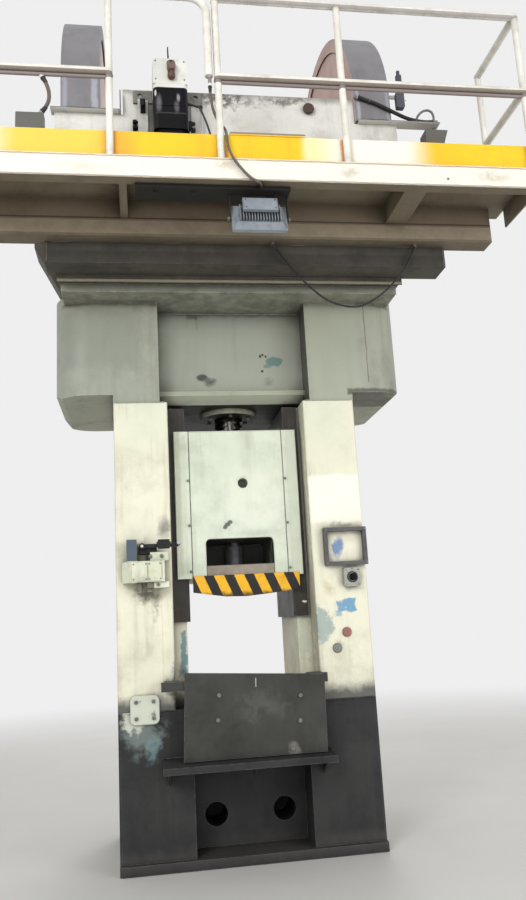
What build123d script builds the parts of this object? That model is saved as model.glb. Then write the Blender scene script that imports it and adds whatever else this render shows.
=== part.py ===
from build123d import *
import os
from math import asin, cos, degrees, pi, radians, sin, sqrt

os.makedirs("parts", exist_ok=True)

# Friction screw press. Millimetres. The origin is on the floor under the screw axis:
# +X to the operator's right, +Y into the press, +Z up. The slide is at the top of its stroke.

# Fits and seats
run_gap = 0.05          # radial clearance of shafts and threads in their bores
slide_gap = 0.3         # clearance of flat and curved faces that move past each other
stroke = 400            # travel of the slide
shift_travel = 3.7      # travel of the disc shaft each way

# Bed
frame_half_width = 805
frame_half_depth = 500
bed_height = 900
bed_recess_half_width = 357
bed_recess_depth = 230
bed_recess_height = 575
bed_hole_radius = 72
bed_hole_offset = 216
bed_hole_height = 242
bed_hole_depth = 300
foot_height = 55
foot_projection = 38
anchor_radius = 24
anchor_inset_x = 60
anchor_inset_y = 95
anchor_pocket_height = 210
anchor_pocket_size = 130
ejector_passage_radius = 60

# Table
table_half_width = 355
table_half_depth = 430
table_thickness = 100
table_hole_radius = 50
slot_width = 28
slot_foot_width = 48
slot_foot_height = 20
slot_depth = 46
slot_places = (-250, -110, 110, 250)

# Columns
column_height = 1946
window_half_width = 455
die_half_width = 362
column_step_depth = 200
column_corner = 14
tie_rod_radius = 60
tie_rod_gap = 2
tie_rod_inset = 170
tie_rod_y = 300
tie_nut_radius = 105
tie_nut_height = 90
tie_nut_room = 8

# Crown
crown_half_width = 1185
crown_half_depth = 500
crown_height = 754
crown_corner = 220
crown_panel_inset = 130      # from the tie rods' axes to the panel's edge
crown_panel_depth = 200
crown_panel_lift = 32
crown_lip_height = 80
crown_lip_depth = 60
crown_wing_lift = 54
crown_wing_edge = 45
crown_flange_half_depth = 680
crown_flange_half_width = 1120
crown_flange_height = 57

# Guides and slide
rail_side_thickness = 22
rail_front_thickness = 25
rail_width = 78
rail_drop = 1423
slide_half_width = 316
slide_front = 360
slide_height = 982
slide_bottom = 1695
slide_edge = 6
shoe_width = 100
window_width = 450
window_depth = 510
window_height = 174
window_corner = 30
clamp_height = 79
clamp_depth = 230
clamp_gap = 0.5
slide_bolt_rises = (45, 345, 645)
sight_hole_radius = 34
sight_hole_x = 38
sight_hole_height = 620
sight_hole_depth = 90
shank_radius = 50
knockout_radius = 48
knockout_length = 330
knockout_travel = 60
nipple_radius = 11
nipple_height = 62
nipple_x = -28

# Striped guard under the slide
guard_thickness = 8
guard_left = -318
guard_right = 385
guard_lap = 14
guard_drop_left = 138
guard_drop_right = 108

# Screw, nut and flywheel
screw_radius = 100
screw_neck_radius = 82
screw_foot_radius = 120
screw_foot_height = 236
thrust_pad_thickness = 24
retainer_radius = 200
retainer_thickness = 38
nut_radius = 135
nut_flange_radius = 205
nut_flange_thickness = 36
flywheel_radius = 844
band_thickness = 6
flywheel_height = 250
flywheel_clearance = 645      # from the crown's top to the rim at the top of the stroke
flywheel_rim = 140
flywheel_web = 70
flywheel_hub_radius = 190
flywheel_hub_rise = 150
flywheel_hole_radius = 95
flywheel_hole_circle = 440
flywheel_hole_count = 6
screw_cap_radius = 110
screw_cap_height = 32

# Shaft, discs and bearings
shaft_radius = 70
shaft_rise = 310              # from the flywheel's top to the shaft's axis
shaft_left_end = 1500
shaft_right_end = 1430
disc_gap = 4
disc_radius = 940
disc_thickness = 60
disc_hub_radius = 135
disc_hub_outer = 86
disc_ring_width = 150
disc_ring_relief = 22
pulley_radius = 600
pulley_width = 130
pulley_rim = 28
pulley_web = 30
pulley_gap = 16
bracket_inner = 1160
bearing_length = 200
bearing_radius = 170
bush_radius = 92
foot_inner = 970
foot_outer = 1125
foot_depth = 250
arm_half_depth = 120
foot_plate = 60
cap_bolt_radius = 18
cap_bolt_offset = 138
cap_wall = 28
nut_size = 26

# Hoods over the discs
hood_inner = 842
hood_width = 248
hood_radius = 993
hood_sheet = 6
hood_rear_angle = 35
hood_drop = 155
hood_pad_radius = 22
hood_pad_offset = 120
tray_thickness = 8
tray_depth = 85
tray_gap = 12
tray_step = 20
tray_lip = 138
tray_left = (-1152, -711)
tray_right = (858, 1425)
junction_box_left = 1320
junction_box_width = 126
junction_box_slant = 32
junction_box_height = 98
junction_box_depth = 110
junction_stem_radius = 12
junction_stem_length = 44
hood_switch_left = 1142
hood_switch_width = 56
hood_switch_drop = 37
hood_switch_height = 122
hood_switch_depth = 40

# Guard sheet that stands on the deck in front of the flywheel
guard_sheet = 4
guard_sheet_gap = 22          # from the discs' front to the sheet's back
guard_sheet_width = 1130
guard_inner_left = -700
guard_inner_right = 838
guard_inner_rise = 20
guard_hem = 16
guard_knob_x = 524
guard_knob_drop = 94
guard_knob_radius = 37
guard_knob_depth = 30

# Cords: diameters, and the points of each route as seen in the photograph
lead_diameter = 16
hanging_diameter = 12
hood_hose_diameter = 25
box_hose_diameter = 22
unit_cable_diameter = 12
unit_tube_diameter = 8
arch_radius = 8
gland_wall = 2.5

# Drip plate and head frame on the crown
drip_half_width = 1135
drip_half_depth = 770
drip_thickness = 18
drip_lip = 28
drip_lip_thickness = 8
head_left = -1190
head_right = 1380
head_front = 950
head_beam_width = 190
head_height = 138
cross_beam_inner = 790
cross_beam_width = 80

# Platform
platform_left = -1620
platform_right = 1800
platform_front = 1520
platform_depth = 620
fascia_height = 130
fascia_flange = 80
steel_web = 10
rear_channel_front = 1040
rear_channel_flange = 130
rear_channel_right = 1680
deck_thickness = 6
deck_rise = 244               # from the head frame's top to the deck's underside
cross_places = ((-725, 45), (180, 45), (960, 140))
toe_height = 174
toe_thickness = 5
pipe_radius = 24
post_radius = 21
post_step = 0.6
railing_height = 1100
knee_height = 540
railing_inset = 21
conduit_radius = 11
conduit_gap = 2
toe_bar_left = -80
toe_bar_right = 368
toe_bar_height = 18
toe_bar_depth = 18
posts_left = (-1599, -768)
posts_right = (-138, 612, 1779)
bend_x = -190
bend_radius = 110

# Lamp under the platform
lamp_rail_left = -633
lamp_rail_right = 262
lamp_rail_width = 150
lamp_rail_thickness = 25
lamp_x = 80
lamp_width = 325
lamp_height = 180
lamp_rim = 24
lamp_slope = 34
lamp_shell_depth = 30
lamp_fin_count = 15
lamp_fin_depth = 22
lamp_fin_width = 5
lamp_driver_width = 205
lamp_driver_height = 88
lamp_driver_depth = 30
lamp_drop = 148
lamp_lean = 75
lamp_pin_radius = 7
yoke_width = 30
yoke_sheet = 5
yoke_gap = 6

# Service unit on the platform
unit_x = -400
unit_front = 1160
unit_width = 217
unit_depth = 180
unit_neck = 735
unit_top = 920
unit_taper = 26
unit_foot_height = 420
unit_lug_length = 125
unit_lug_height = 68
unit_lug_thickness = 12
unit_spigot_radius = 27
unit_spigot_length = 46

# Apron in front of the table
apron_front = 645
apron_thickness = 10
apron_rise_left = 224
apron_rise_right = 169
apron_drop = 284
apron_left = -425
apron_right = 448
bar_left = -545
bar_right = 470
bar_height = 55
bar_rise = 120
bar_depth = 40
ledge_left = -545
ledge_right = 478
ledge_drop = 308
ledge_depth = 230
ledge_thickness = 20
ledge_slope = 34
apron_bolt_radius = 13

# Things on the columns
holder_left = 529
holder_right = 812
holder_bottom = 1730
holder_top = 1974
holder_bar = 24
holder_depth = 40
switch_x = 697
switch_z = 1651
switch_width = 104
switch_height = 118
switch_depth = 46
knob_radius = 24
knob_depth = 26
knob_stem_radius = 8
plug_places = ((645, 1306), (575, 1210))
plug_radius = 26
plug_depth = 12
cover_x = -643
cover_z = 915
cover_width = 176
cover_height = 170
cover_thickness = 22
trip_left = -764
trip_right = -503
trip_bottom = 1674
trip_top = 1802
trip_depth = 120
trip_chamfer = 55
trip_clamp_depth = 70
sensor_left = -735
sensor_right = -672
sensor_top = 1937
lever_pivot_x = -640
lever_z = 1896
lever_length = 225
lever_pin_radius = 9
lever_roller_radius = 15

# Shift cylinder at the left end of the shaft
yoke_radius = 112
yoke_length = 100
yoke_bore = 50
cylinder_start = 1580
cylinder_length = 220
cylinder_radius = 105
piston_rod_radius = 28
cylinder_shelf_drop = 245
shelf_thickness = 30

# Motor behind the press
motor_y = 1230
motor_drop = 820
motor_radius = 165
motor_length = 420
motor_gap = 30
motor_shaft_radius = 24
motor_pulley_radius = 120
motor_fin_count = 24
motor_fin_depth = 12
shelf_y_end = 1430
belt_width = 100
belt_thickness = 9

# Brake behind the flywheel
brake_width = 300
brake_height = 130
brake_gap = 6
brake_thickness = 44
brake_post_width = 110
brake_post_depth = 120
brake_pin_radius = 24

# Levels and planes that follow from the sizes above
front = -frame_half_depth
tie_rod_x = frame_half_width - tie_rod_inset
crown_panel_half_width = tie_rod_x - crown_panel_inset
crown_bottom = bed_height + column_height
crown_top = crown_bottom + crown_height
apron_top_left = bed_height + apron_rise_left
apron_top_right = bed_height + apron_rise_right
apron_bottom = bed_height - apron_drop
bar_level = bed_height + bar_rise
ledge_level = bed_height - ledge_drop
table_top = bed_height + table_thickness
drip_top = crown_top + drip_thickness
head_top = drip_top + head_height
slide_top = slide_bottom + slide_height
window_bottom = slide_bottom + clamp_height
window_top = window_bottom + window_height
rail_face = -(frame_half_depth - column_step_depth)
rail_front = rail_face - rail_front_thickness
rail_inner = die_half_width - rail_side_thickness
shoe_back = rail_front - slide_gap
flywheel_bottom = crown_top + flywheel_clearance
flywheel_top = flywheel_bottom + flywheel_height
shaft_height = flywheel_top + shaft_rise
hub_top = flywheel_top + flywheel_hub_rise
disc_inner = flywheel_radius + band_thickness + disc_gap
disc_outer = disc_inner + disc_thickness
pulley_inner = disc_outer + pulley_gap
pulley_outer = pulley_inner + pulley_width
bracket_outer = bracket_inner + bearing_length
hood_outer = hood_inner + hood_width
hood_bottom = shaft_height - hood_drop
hood_front = hood_radius + 20
hood_switch_bottom = shaft_height - hood_switch_drop
guard_inner_top = shaft_height + guard_inner_rise
guard_knob_z = guard_inner_top - guard_knob_drop
cylinder_shelf = shaft_height - cylinder_shelf_drop
motor_z = shaft_height - motor_drop
guard_front = -disc_radius - guard_sheet_gap - guard_sheet
deck_level = head_top + deck_rise
deck_top = deck_level + deck_thickness
knee_z = deck_top + knee_height
conduit_z = knee_z - pipe_radius - conduit_gap - conduit_radius
rail_y = -platform_front + railing_inset
toe_front = -platform_front + 2 * railing_inset
toe_top = deck_top + toe_height
fascia_bottom = deck_level - fascia_height


# Shape helpers
def box(x0, x1, y0, y1, z0, z1):
    middle = Pos((x0 + x1) / 2, (y0 + y1) / 2, (z0 + z1) / 2)
    return middle * Box(abs(x1 - x0), abs(y1 - y0), abs(z1 - z0))


def rod_x(x0, x1, y, z, r):
    return Pos((x0 + x1) / 2, y, z) * Rot(0, 90, 0) * Cylinder(r, abs(x1 - x0))


def rod_y(x, y0, y1, z, r):
    return Pos(x, (y0 + y1) / 2, z) * Rot(90, 0, 0) * Cylinder(r, abs(y1 - y0))


def rod_z(x, y, z0, z1, r):
    return Pos(x, y, (z0 + z1) / 2) * Cylinder(r, abs(z1 - z0))


def prism_x(points, x0, x1):
    profile = Plane.YZ * make_face(Polyline(*points, close=True))
    return Pos(x0, 0, 0) * extrude(profile, amount=x1 - x0)


def prism_y(points, y0, y1):
    profile = Plane.XZ * make_face(Polyline(*points, close=True))
    return Pos(0, y1, 0) * extrude(profile, amount=y1 - y0)


def prism_z(points, z0, z1):
    profile = make_face(Polyline(*points, close=True))
    return Pos(0, 0, z0) * extrude(profile, amount=z1 - z0)


def hex_z(x, y, z0, z1, r):
    return Pos(x, y, z0) * extrude(RegularPolygon(r, 6), amount=z1 - z0)


def hex_y(x, y0, y1, z, r):
    return Pos(x, y1, z) * extrude(Plane.XZ * RegularPolygon(r, 6), amount=y1 - y0)


def flip(shape):
    return mirror(shape, about=Plane.YZ)


def save(name, *shapes):
    whole = shapes[0] if len(shapes) == 1 else Compound(children=list(shapes))
    export_step(whole, f"parts/{name}.step")


corners = [(sx * tie_rod_x, sy * tie_rod_y) for sx in (-1, 1) for sy in (-1, 1)]

# Small box on the toe board
toe_box_left = -1290
toe_box_right = -1134
toe_box_depth = 56
toe_box_height = 100

# Routes of the cords: x, y and the height over the named level, from the face that each leaves
def route(level, *spots):
    return [(x, y, level + rise) for x, y, rise in spots]


lead_points = route(deck_level, (-186, -1499, 480), (-186, -1499, 426), (-179, -1485, 370),
                    (-161, -1464, 316), (-134, -1457, 266), (-107, -1477, 223), (-102, -1502, 172),
                    (-103, -1522, 105), (-94, -1536, 40), (-70, -1541, -18), (-34, -1543, -70),
                    (8, -1545, -122), (52, -1537, -147), (88, -1507, -142.5), (88, -1460, -142.5))
hanging_points = route(head_top, (226, -985, -14), (298, -985, -120), (370, -985, -221), (479, -985, -334),
                       (571, -985, -403), (684, -985, -435), (777, -985, -433), (902, -985, -360),
                       (1011, -985, -260), (1108, -985, -142), (1166, -985, -16))
hood_hose_points = route(hood_bottom, (863, -1007, 165), (952, -1007, 139), (1053, -1007, 91),
                         (1120, -1007, 56), (1187, -1005, 25), (1262, -993, 14.5), (1328, -985, 14),
                         (1385, -985, 14))
box_hose_points = route(deck_level, (-1137.8, -1499, 487.3), (-1113.3, -1499, 443.8), (-1101, -1480, 385),
                        (-1116, -1460, 338), (-1148, -1450, 302))
unit_cable_points = route(deck_level, (-291.5, -1100, 640), (-258.5, -1100, 640), (-236, -1110, 617),
                          (-222, -1150, 590), (-208, -1225, 487), (-193, -1318, 352), (-180, -1395, 215),
                          (-172, -1425, 90), (-172, -1425, 6))
unit_tube_points = route(deck_level, (-192, -974, 720), (-192, -974, 676), (-189, -980, 616),
                         (-191, -992, 550), (-202, -1006, 494), (-222, -1018, 463), (-247, -1026, 452),
                         (-268, -1030, 464), (-276, -1030, 486), (-276, -1030, 510))
arch_points = route(hood_bottom, (1275, -960, 0.6), (1277, -960, 43), (1296, -960, 83), (1330, -960, 115),
                    (1370, -960, 126), (1398, -960, 108), (1407, -960, 72), (1401, -960, 35),
                    (1401, -960, 0.6))


# Cord: straight runs joined by tangent arcs, each as large as its two runs allow
def cord(points, r):
    spots = [Vector(*q) for q in points]
    runs = [b - a for a, b in zip(spots, spots[1:])]
    radii = []
    length = sum(run.length for run in runs)
    for a, b in zip(runs, runs[1:]):
        half = radians(a.get_angle(b)) / 2
        radius = 0.45 * min(a.length, b.length) * cos(half) / sin(half)
        radii.append(radius)
        length += 2 * radius * half - 2 * radius * sin(half) / cos(half)
    path = FilletPolyline(*spots, radius=radii)
    tube = sweep(Plane(origin=spots[0], z_dir=runs[0].normalized()) * Circle(r), path=path)
    share = tube.volume / (pi * r * r * length)
    print(f"cord of {2 * r:g} mm: {length:.0f} mm long, smallest radius {min(radii):.0f} mm, volume {share:.4f}")
    return tube


# Bed: one casting with a recess in front, anchor pockets and a passage for the lower ejector
def make_bed():
    w, d = frame_half_width, frame_half_depth
    body = box(-w, w, -d, d, 0, bed_height)
    body += box(-w, w, -d - foot_projection, d + foot_projection, 0, foot_height)
    body = chamfer(body.edges().filter_by(Axis.Z).filter_by(lambda e: abs(e.center().X) > w - 1), 12)
    r = bed_recess_half_width
    body -= box(-r, r, -d - foot_projection - 1, -d + bed_recess_depth, foot_height, bed_recess_height)
    panel = -d + bed_recess_depth
    for side in (-1, 1):
        body -= rod_y(side * bed_hole_offset, panel - 1, panel + bed_hole_depth, bed_hole_height, bed_hole_radius)
    ax, ay = w - anchor_inset_x, d - anchor_inset_y
    half = anchor_pocket_size / 2
    for sx in (-1, 1):
        for sy in (-1, 1):
            edge = sx * (w + 1)
            body -= box(sx * (ax - half), edge, sy * ay - half, sy * ay + half,
                        foot_height, anchor_pocket_height)
            body -= rod_z(sx * ax, sy * ay, -1, foot_height + 1, anchor_radius)
    body -= rod_z(0, 0, -1, bed_height + 1, ejector_passage_radius)
    for x, y in corners:
        body -= rod_z(x, y, anchor_pocket_height + tie_nut_height, bed_height + 1, tie_rod_radius + tie_rod_gap)
        body -= rod_z(x, y, -1, anchor_pocket_height + tie_nut_height + 1, tie_nut_radius + tie_nut_room)
    return body


# Table plate with tee slots that run front to back
def make_table():
    w, d = table_half_width, table_half_depth
    body = box(-w, w, -d, d, bed_height, table_top)
    for x in slot_places:
        body -= box(x - slot_width / 2, x + slot_width / 2, -d - 1, d + 1, table_top - slot_depth, table_top + 1)
        low = table_top - slot_depth
        body -= box(x - slot_foot_width / 2, x + slot_foot_width / 2, -d - 1, d + 1, low, low + slot_foot_height)
    body -= rod_z(0, 0, bed_height - 1, table_top + 1, table_hole_radius)
    return body


# Right column: its inner side steps in behind the front face and carries the guide rail
def make_column():
    w, d, step = frame_half_width, frame_half_depth, column_step_depth
    plan = [(window_half_width, -d), (w, -d), (w, d), (window_half_width, d),
            (window_half_width, d - step), (die_half_width, d - step),
            (die_half_width, step - d), (window_half_width, step - d)]
    body = prism_z(plan, bed_height, crown_bottom)
    outer = body.edges().filter_by(Axis.Z).filter_by(lambda e: abs(e.center().Y) > d - 1)
    body = fillet(outer, column_corner)
    for x, y in corners:
        if x > 0:
            body -= rod_z(x, y, bed_height - 1, crown_bottom + 1, tie_rod_radius + tie_rod_gap)
    return body


# Crown: cast head with rounded wings, a recessed middle panel and a flange on top
def make_crown():
    w, d = crown_half_width, crown_half_depth
    low, high = crown_bottom, crown_top
    lift = low + crown_panel_lift
    wing = low + crown_wing_lift
    edge = crown_wing_edge
    p, f = crown_panel_half_width, frame_half_width
    elevation = [(-f, low), (-p, low), (-p, lift), (p, lift), (p, low), (f, low), (f, wing),
                 (w - edge, wing), (w, wing + edge), (w, high), (-w, high), (-w, wing + edge),
                 (-w + edge, wing), (-f, wing)]
    body = prism_y(elevation, -d, d)
    plan = Pos(0, 0, (low + high) / 2) * Box(2 * w, 2 * d, high - low + 2)
    plan = fillet(plan.edges().filter_by(Axis.Z), crown_corner)
    body = body & plan
    depth = crown_panel_depth
    lip = lift + crown_lip_height
    top = high - crown_flange_height
    body -= box(-p, p, -d - 1, -d + depth, lift - 1, top)
    nose = [(-d + depth, lift), (-d + depth - crown_lip_depth, lip - 30), (-d + depth - crown_lip_depth, lip),
            (-d + depth, lip + 14)]
    body += prism_x(nose, -p, p)
    body += box(-crown_flange_half_width, crown_flange_half_width, -crown_flange_half_depth,
                crown_flange_half_depth, top, high)
    body -= rod_z(0, 0, low - 1, high + 1, nut_radius)
    for x, y in corners:
        body -= rod_z(x, y, low - 1, high + 1, tie_rod_radius + tie_rod_gap)
    return body


# Tie rods, with nuts in the bed and on the crown under the drip plate's level
def make_tie_rods():
    low = anchor_pocket_height
    return [rod_z(x, y, low, drip_top + tie_nut_height + 20, tie_rod_radius) for x, y in corners]


def make_tie_nuts():
    nuts = []
    for x, y in corners:
        for z in (anchor_pocket_height, drip_top):
            nut = hex_z(x, y, z, z + tie_nut_height, tie_nut_radius)
            nuts.append(nut - rod_z(x, y, z - 1, z + tie_nut_height + 1, tie_rod_radius))
    return nuts


# Bronze nut of the screw, with its flange under the crown
def make_screw_nut():
    bottom = crown_bottom + crown_panel_lift
    body = rod_z(0, 0, bottom, crown_top, nut_radius)
    body += rod_z(0, 0, bottom - nut_flange_thickness, bottom, nut_flange_radius)
    return body - rod_z(0, 0, bottom - nut_flange_thickness - 1, crown_top + 1, screw_radius + run_gap)


# Right guide rail: a channel that wraps the column's inner step
def make_rail():
    outer = die_half_width + rail_width
    body = box(rail_inner, die_half_width, rail_front, -rail_front, rail_drop, crown_bottom)
    for sy in (-1, 1):
        body += box(rail_inner, outer, sy * -rail_face, sy * -rail_front, rail_drop, crown_bottom)
    return body


# Slide: a box with a window at the bottom and a socket for the screw on top
def make_slide():
    w, f = slide_half_width, slide_front
    side = rail_inner - slide_gap
    body = box(-w, w, -f, f, slide_bottom, slide_top)
    body += box(-side, side, shoe_back, -shoe_back, slide_bottom, slide_top)
    window = box(-window_width / 2, window_width / 2, -f - 1, window_depth - f, window_bottom, window_top)
    upper = window.edges().filter_by(Axis.Y).sort_by(Axis.Z)[-2:]
    body -= fillet(upper, window_corner)
    body -= box(-window_width / 2, window_width / 2, -f - 1, -f + clamp_depth, slide_bottom - 1, window_bottom + 1)
    body -= rod_z(0, 0, slide_bottom - 1, window_bottom + 1, shank_radius)
    body -= rod_z(0, 0, window_top - 1, window_bottom + knockout_length + 1, knockout_radius + run_gap)
    hole_z = slide_bottom + sight_hole_height
    body -= rod_y(sight_hole_x, -f - 1, -f + sight_hole_depth, hole_z, sight_hole_radius)
    socket = slide_top - screw_foot_height - thrust_pad_thickness
    body -= rod_z(0, 0, socket, slide_top + 1, screw_foot_radius + slide_gap)
    return chamfer(body.edges().group_by(Axis.Y)[0].filter_by(Axis.X), slide_edge / 2)


# Front and rear shoes of one side, which run on the rail's faces
def make_shoes():
    w = slide_half_width
    front_shoe = box(w, w + shoe_width, -slide_front, shoe_back, slide_bottom, slide_top)
    front_shoe = chamfer(front_shoe.edges().group_by(Axis.Y)[0].filter_by(Axis.Z), 4)
    return [front_shoe, mirror(front_shoe, about=Plane.XZ)]


def make_clamp():
    half = window_width / 2 - clamp_gap
    body = box(-half, half, -slide_front, -slide_front + clamp_depth - clamp_gap, slide_bottom, window_bottom)
    return chamfer(body.edges().group_by(Axis.Y)[0], 5)


def make_guard():
    top = slide_bottom + guard_lap
    low_left, low_right = top - guard_drop_left, top - guard_drop_right
    span = guard_right - guard_left
    points = [(guard_left, top), (guard_right, top), (guard_right, low_right),
              (guard_left + 0.72 * span, low_right - 22), (guard_left + 0.5 * span, low_left - 4),
              (guard_left + 0.3 * span, low_left), (guard_left, low_left + 34)]
    return prism_y(points, -slide_front - guard_thickness, -slide_front)


def make_thrust_pad():
    bottom = slide_top - screw_foot_height - thrust_pad_thickness
    return rod_z(0, 0, bottom, bottom + thrust_pad_thickness - slide_gap, screw_foot_radius - 2)


def make_retainer():
    ring = rod_z(0, 0, slide_top, slide_top + retainer_thickness, retainer_radius)
    return ring - rod_z(0, 0, slide_top - 1, slide_top + retainer_thickness + 1, screw_radius + run_gap)


def make_knockout():
    low = window_bottom + 1
    rod = rod_z(0, 0, low, window_bottom + knockout_length, knockout_radius)
    return chamfer(rod.edges().sort_by(Axis.Z)[0], 4)


# Screw with its foot in the slide, and the flywheel on its neck
def make_screw():
    foot = slide_top - screw_foot_height
    body = rod_z(0, 0, foot, slide_top - slide_gap, screw_foot_radius)
    body += rod_z(0, 0, foot, flywheel_bottom, screw_radius)
    body += rod_z(0, 0, flywheel_bottom, hub_top, screw_neck_radius)
    cap = rod_z(0, 0, hub_top, hub_top + screw_cap_height, screw_cap_radius)
    return body + chamfer(cap.edges().sort_by(Axis.Z)[-1], 6)


def make_flywheel():
    r, low, high = flywheel_radius, flywheel_bottom, flywheel_top
    web = low + (flywheel_height - flywheel_web) / 2
    body = rod_z(0, 0, low, high, r)
    inner = r - flywheel_rim
    body -= rod_z(0, 0, low - 1, web, inner)
    body -= rod_z(0, 0, web + flywheel_web, high + 1, inner)
    body += rod_z(0, 0, low, hub_top, flywheel_hub_radius)
    for k in range(flywheel_hole_count):
        turn = radians(360 / flywheel_hole_count * k)
        x, y = flywheel_hole_circle * cos(turn), flywheel_hole_circle * sin(turn)
        body -= rod_z(x, y, low, high, flywheel_hole_radius)
    return body - rod_z(0, 0, low - 1, hub_top + 1, screw_neck_radius)


def make_band():
    margin = 10
    band = rod_z(0, 0, flywheel_bottom + margin, flywheel_top - margin, flywheel_radius + band_thickness)
    return band - rod_z(0, 0, flywheel_bottom, flywheel_top, flywheel_radius)


# Shaft with two friction discs and the belt pulley behind the right one
def make_shaft():
    body = rod_x(-shaft_left_end, shaft_right_end, 0, shaft_height, yoke_bore)
    body += rod_x(-bracket_outer - 20, bracket_outer + 20, 0, shaft_height, shaft_radius)
    return body


def make_disc():
    z = shaft_height
    body = rod_x(disc_inner, disc_outer, 0, z, disc_radius)
    ring = disc_radius - disc_ring_width
    web = rod_x(disc_outer - disc_ring_relief, disc_outer + 1, 0, z, ring)
    body -= web - rod_x(disc_inner, disc_outer + 2, 0, z, disc_hub_radius)
    body += rod_x(disc_inner, disc_outer + disc_hub_outer, 0, z, disc_hub_radius)
    for k in range(8):
        rib = box(disc_outer - disc_ring_relief, disc_outer, -14, 14, z + disc_hub_radius - 10, z + ring + 10)
        body += Pos(0, 0, z) * Rot(45 * k, 0, 0) * Pos(0, 0, -z) * rib
    return body - rod_x(disc_inner - 1, disc_outer + disc_hub_outer + 1, 0, z, shaft_radius)


def make_pulley():
    z = shaft_height
    body = rod_x(pulley_inner, pulley_outer, 0, z, pulley_radius)
    body -= rod_x(pulley_inner - 1, pulley_outer + 1, 0, z, pulley_radius - pulley_rim)
    bore = disc_hub_radius
    middle = pulley_inner + pulley_web
    body += rod_x(pulley_inner, middle, 0, z, pulley_radius - 1)
    for k in range(5):
        turn = radians(72 * k + 36)
        y, up = 370 * cos(turn), 370 * sin(turn)
        body -= rod_x(pulley_inner - 1, middle + 1, y, z + up, 105)
    return body - rod_x(pulley_inner - 1, pulley_outer + 1, 0, z, bore)


# Bearing bracket on the crown, leaning out to the bearing at the end of the shaft
def make_bracket():
    low, axis = drip_top, shaft_height
    shelf = axis - bearing_radius
    outline = [(foot_inner, low), (foot_outer, low), (foot_outer, low + foot_plate), (bracket_outer, axis - 685),
               (bracket_outer, axis), (bracket_inner, axis), (bracket_inner, axis - 605),
               (foot_inner + 40, low + 190), (foot_inner, low + foot_plate)]
    body = prism_y(outline, -arm_half_depth, arm_half_depth)
    body += box(foot_inner, foot_outer, -foot_depth, foot_depth, low, low + foot_plate)
    for sy in (-1, 1):
        rib = [(sy * arm_half_depth, low + foot_plate), (sy * (foot_depth - 10), low + foot_plate),
               (sy * arm_half_depth, low + 360)]
        body += prism_x(rib, foot_inner + 10, foot_inner + 40)
    body += box(bracket_inner, bracket_outer, -bearing_radius, bearing_radius, shelf + 40, axis)
    for sy in (-1, 1):
        y = sy * cap_bolt_offset
        body -= rod_z((bracket_inner + bracket_outer) / 2, y, axis - 90, axis + 1, cap_bolt_radius)
    return body - rod_x(bracket_inner - 1, bracket_outer + 1, 0, axis, bush_radius)


def make_cap():
    axis = shaft_height
    body = rod_x(bracket_inner, bracket_outer, 0, axis, bush_radius + cap_wall)
    body += box(bracket_inner, bracket_outer, -bearing_radius, bearing_radius, axis, axis + 55)
    body = body & box(bracket_inner, bracket_outer, -bearing_radius, bearing_radius, axis, axis + bearing_radius)
    for sy in (-1, 1):
        middle = (bracket_inner + bracket_outer) / 2
        body -= rod_z(middle, sy * cap_bolt_offset, axis - 1, axis + bearing_radius, cap_bolt_radius)
    return body - rod_x(bracket_inner - 1, bracket_outer + 1, 0, axis, bush_radius)


def make_bush():
    bush = rod_x(bracket_inner, bracket_outer, 0, shaft_height, bush_radius)
    return bush - rod_x(bracket_inner - 1, bracket_outer + 1, 0, shaft_height, shaft_radius + run_gap)


# Hood over one disc, open towards the flywheel, with the tray that it stands on
def hood_profile(r, rim):
    z, turn = shaft_height, radians(hood_rear_angle)
    rear = (r * cos(turn), z + r * sin(turn))
    outer = Line((-r, hood_bottom), (-r, z)) + ThreePointArc((-r, z), (0, z + r), rear)
    if rim:
        t = r - hood_sheet
        inner_rear = (t * cos(turn), z + t * sin(turn))
        outer += Line(rear, inner_rear) + ThreePointArc(inner_rear, (0, z + t), (-t, z))
        outer += Line((-t, z), (-t, hood_bottom)) + Line((-t, hood_bottom), (-r, hood_bottom))
    else:
        edge = bearing_radius + 60
        outer += Line(rear, (edge, rear[1])) + Line((edge, rear[1]), (edge, hood_bottom))
        outer += Line((edge, hood_bottom), (-r, hood_bottom))
    return Plane.YZ * make_face(outer)


def make_hood(tray):
    z, r = shaft_height, hood_radius
    rim = Pos(hood_inner, 0, 0) * extrude(hood_profile(r, True), amount=hood_width)
    wall = Pos(hood_outer - hood_sheet, 0, 0) * extrude(hood_profile(r, False), amount=hood_sheet)
    hole = shaft_radius + 22
    wall -= rod_x(hood_outer - hood_sheet - 1, hood_outer + 1, 0, z, hole)
    wall -= box(hood_outer - hood_sheet - 1, hood_outer + 1, -hole + 8, hole - 8, hood_bottom - 1, z)
    shell = rim + wall
    for sy in (-1, 1):
        shell += rod_x(hood_outer, bracket_inner, sy * hood_pad_offset, z + 40, hood_pad_radius)
    x0, x1 = tray
    y0 = -hood_front
    low = hood_bottom - tray_thickness
    shell += box(x0, x1, y0, -disc_radius - tray_gap, low, hood_bottom)
    return shell + box(hood_outer + tray_step, x1, y0, y0 + tray_depth, low, hood_bottom)


def make_tray_lip(x):
    y0 = -hood_front
    return box(x, x + tray_thickness, y0, -disc_radius - tray_gap, hood_bottom, hood_bottom + tray_lip)


# Right hood's stubs that hold the hose's two ends
def make_hose_stubs():
    first, second = Vector(*hood_hose_points[0]), Vector(*hood_hose_points[1])
    way = (second - first).normalized()
    r = hood_hose_diameter / 2 + gland_wall
    upper = Plane(origin=first - way * 30, z_dir=way) * Pos(0, 0, 15) * Cylinder(r, 30)
    x, y, z = hood_hose_points[-1]
    return upper + rod_x(x, x + 30, y, z, r) + box(x + 4, x + 26, y - 8, y + 8, hood_bottom, z)


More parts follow.
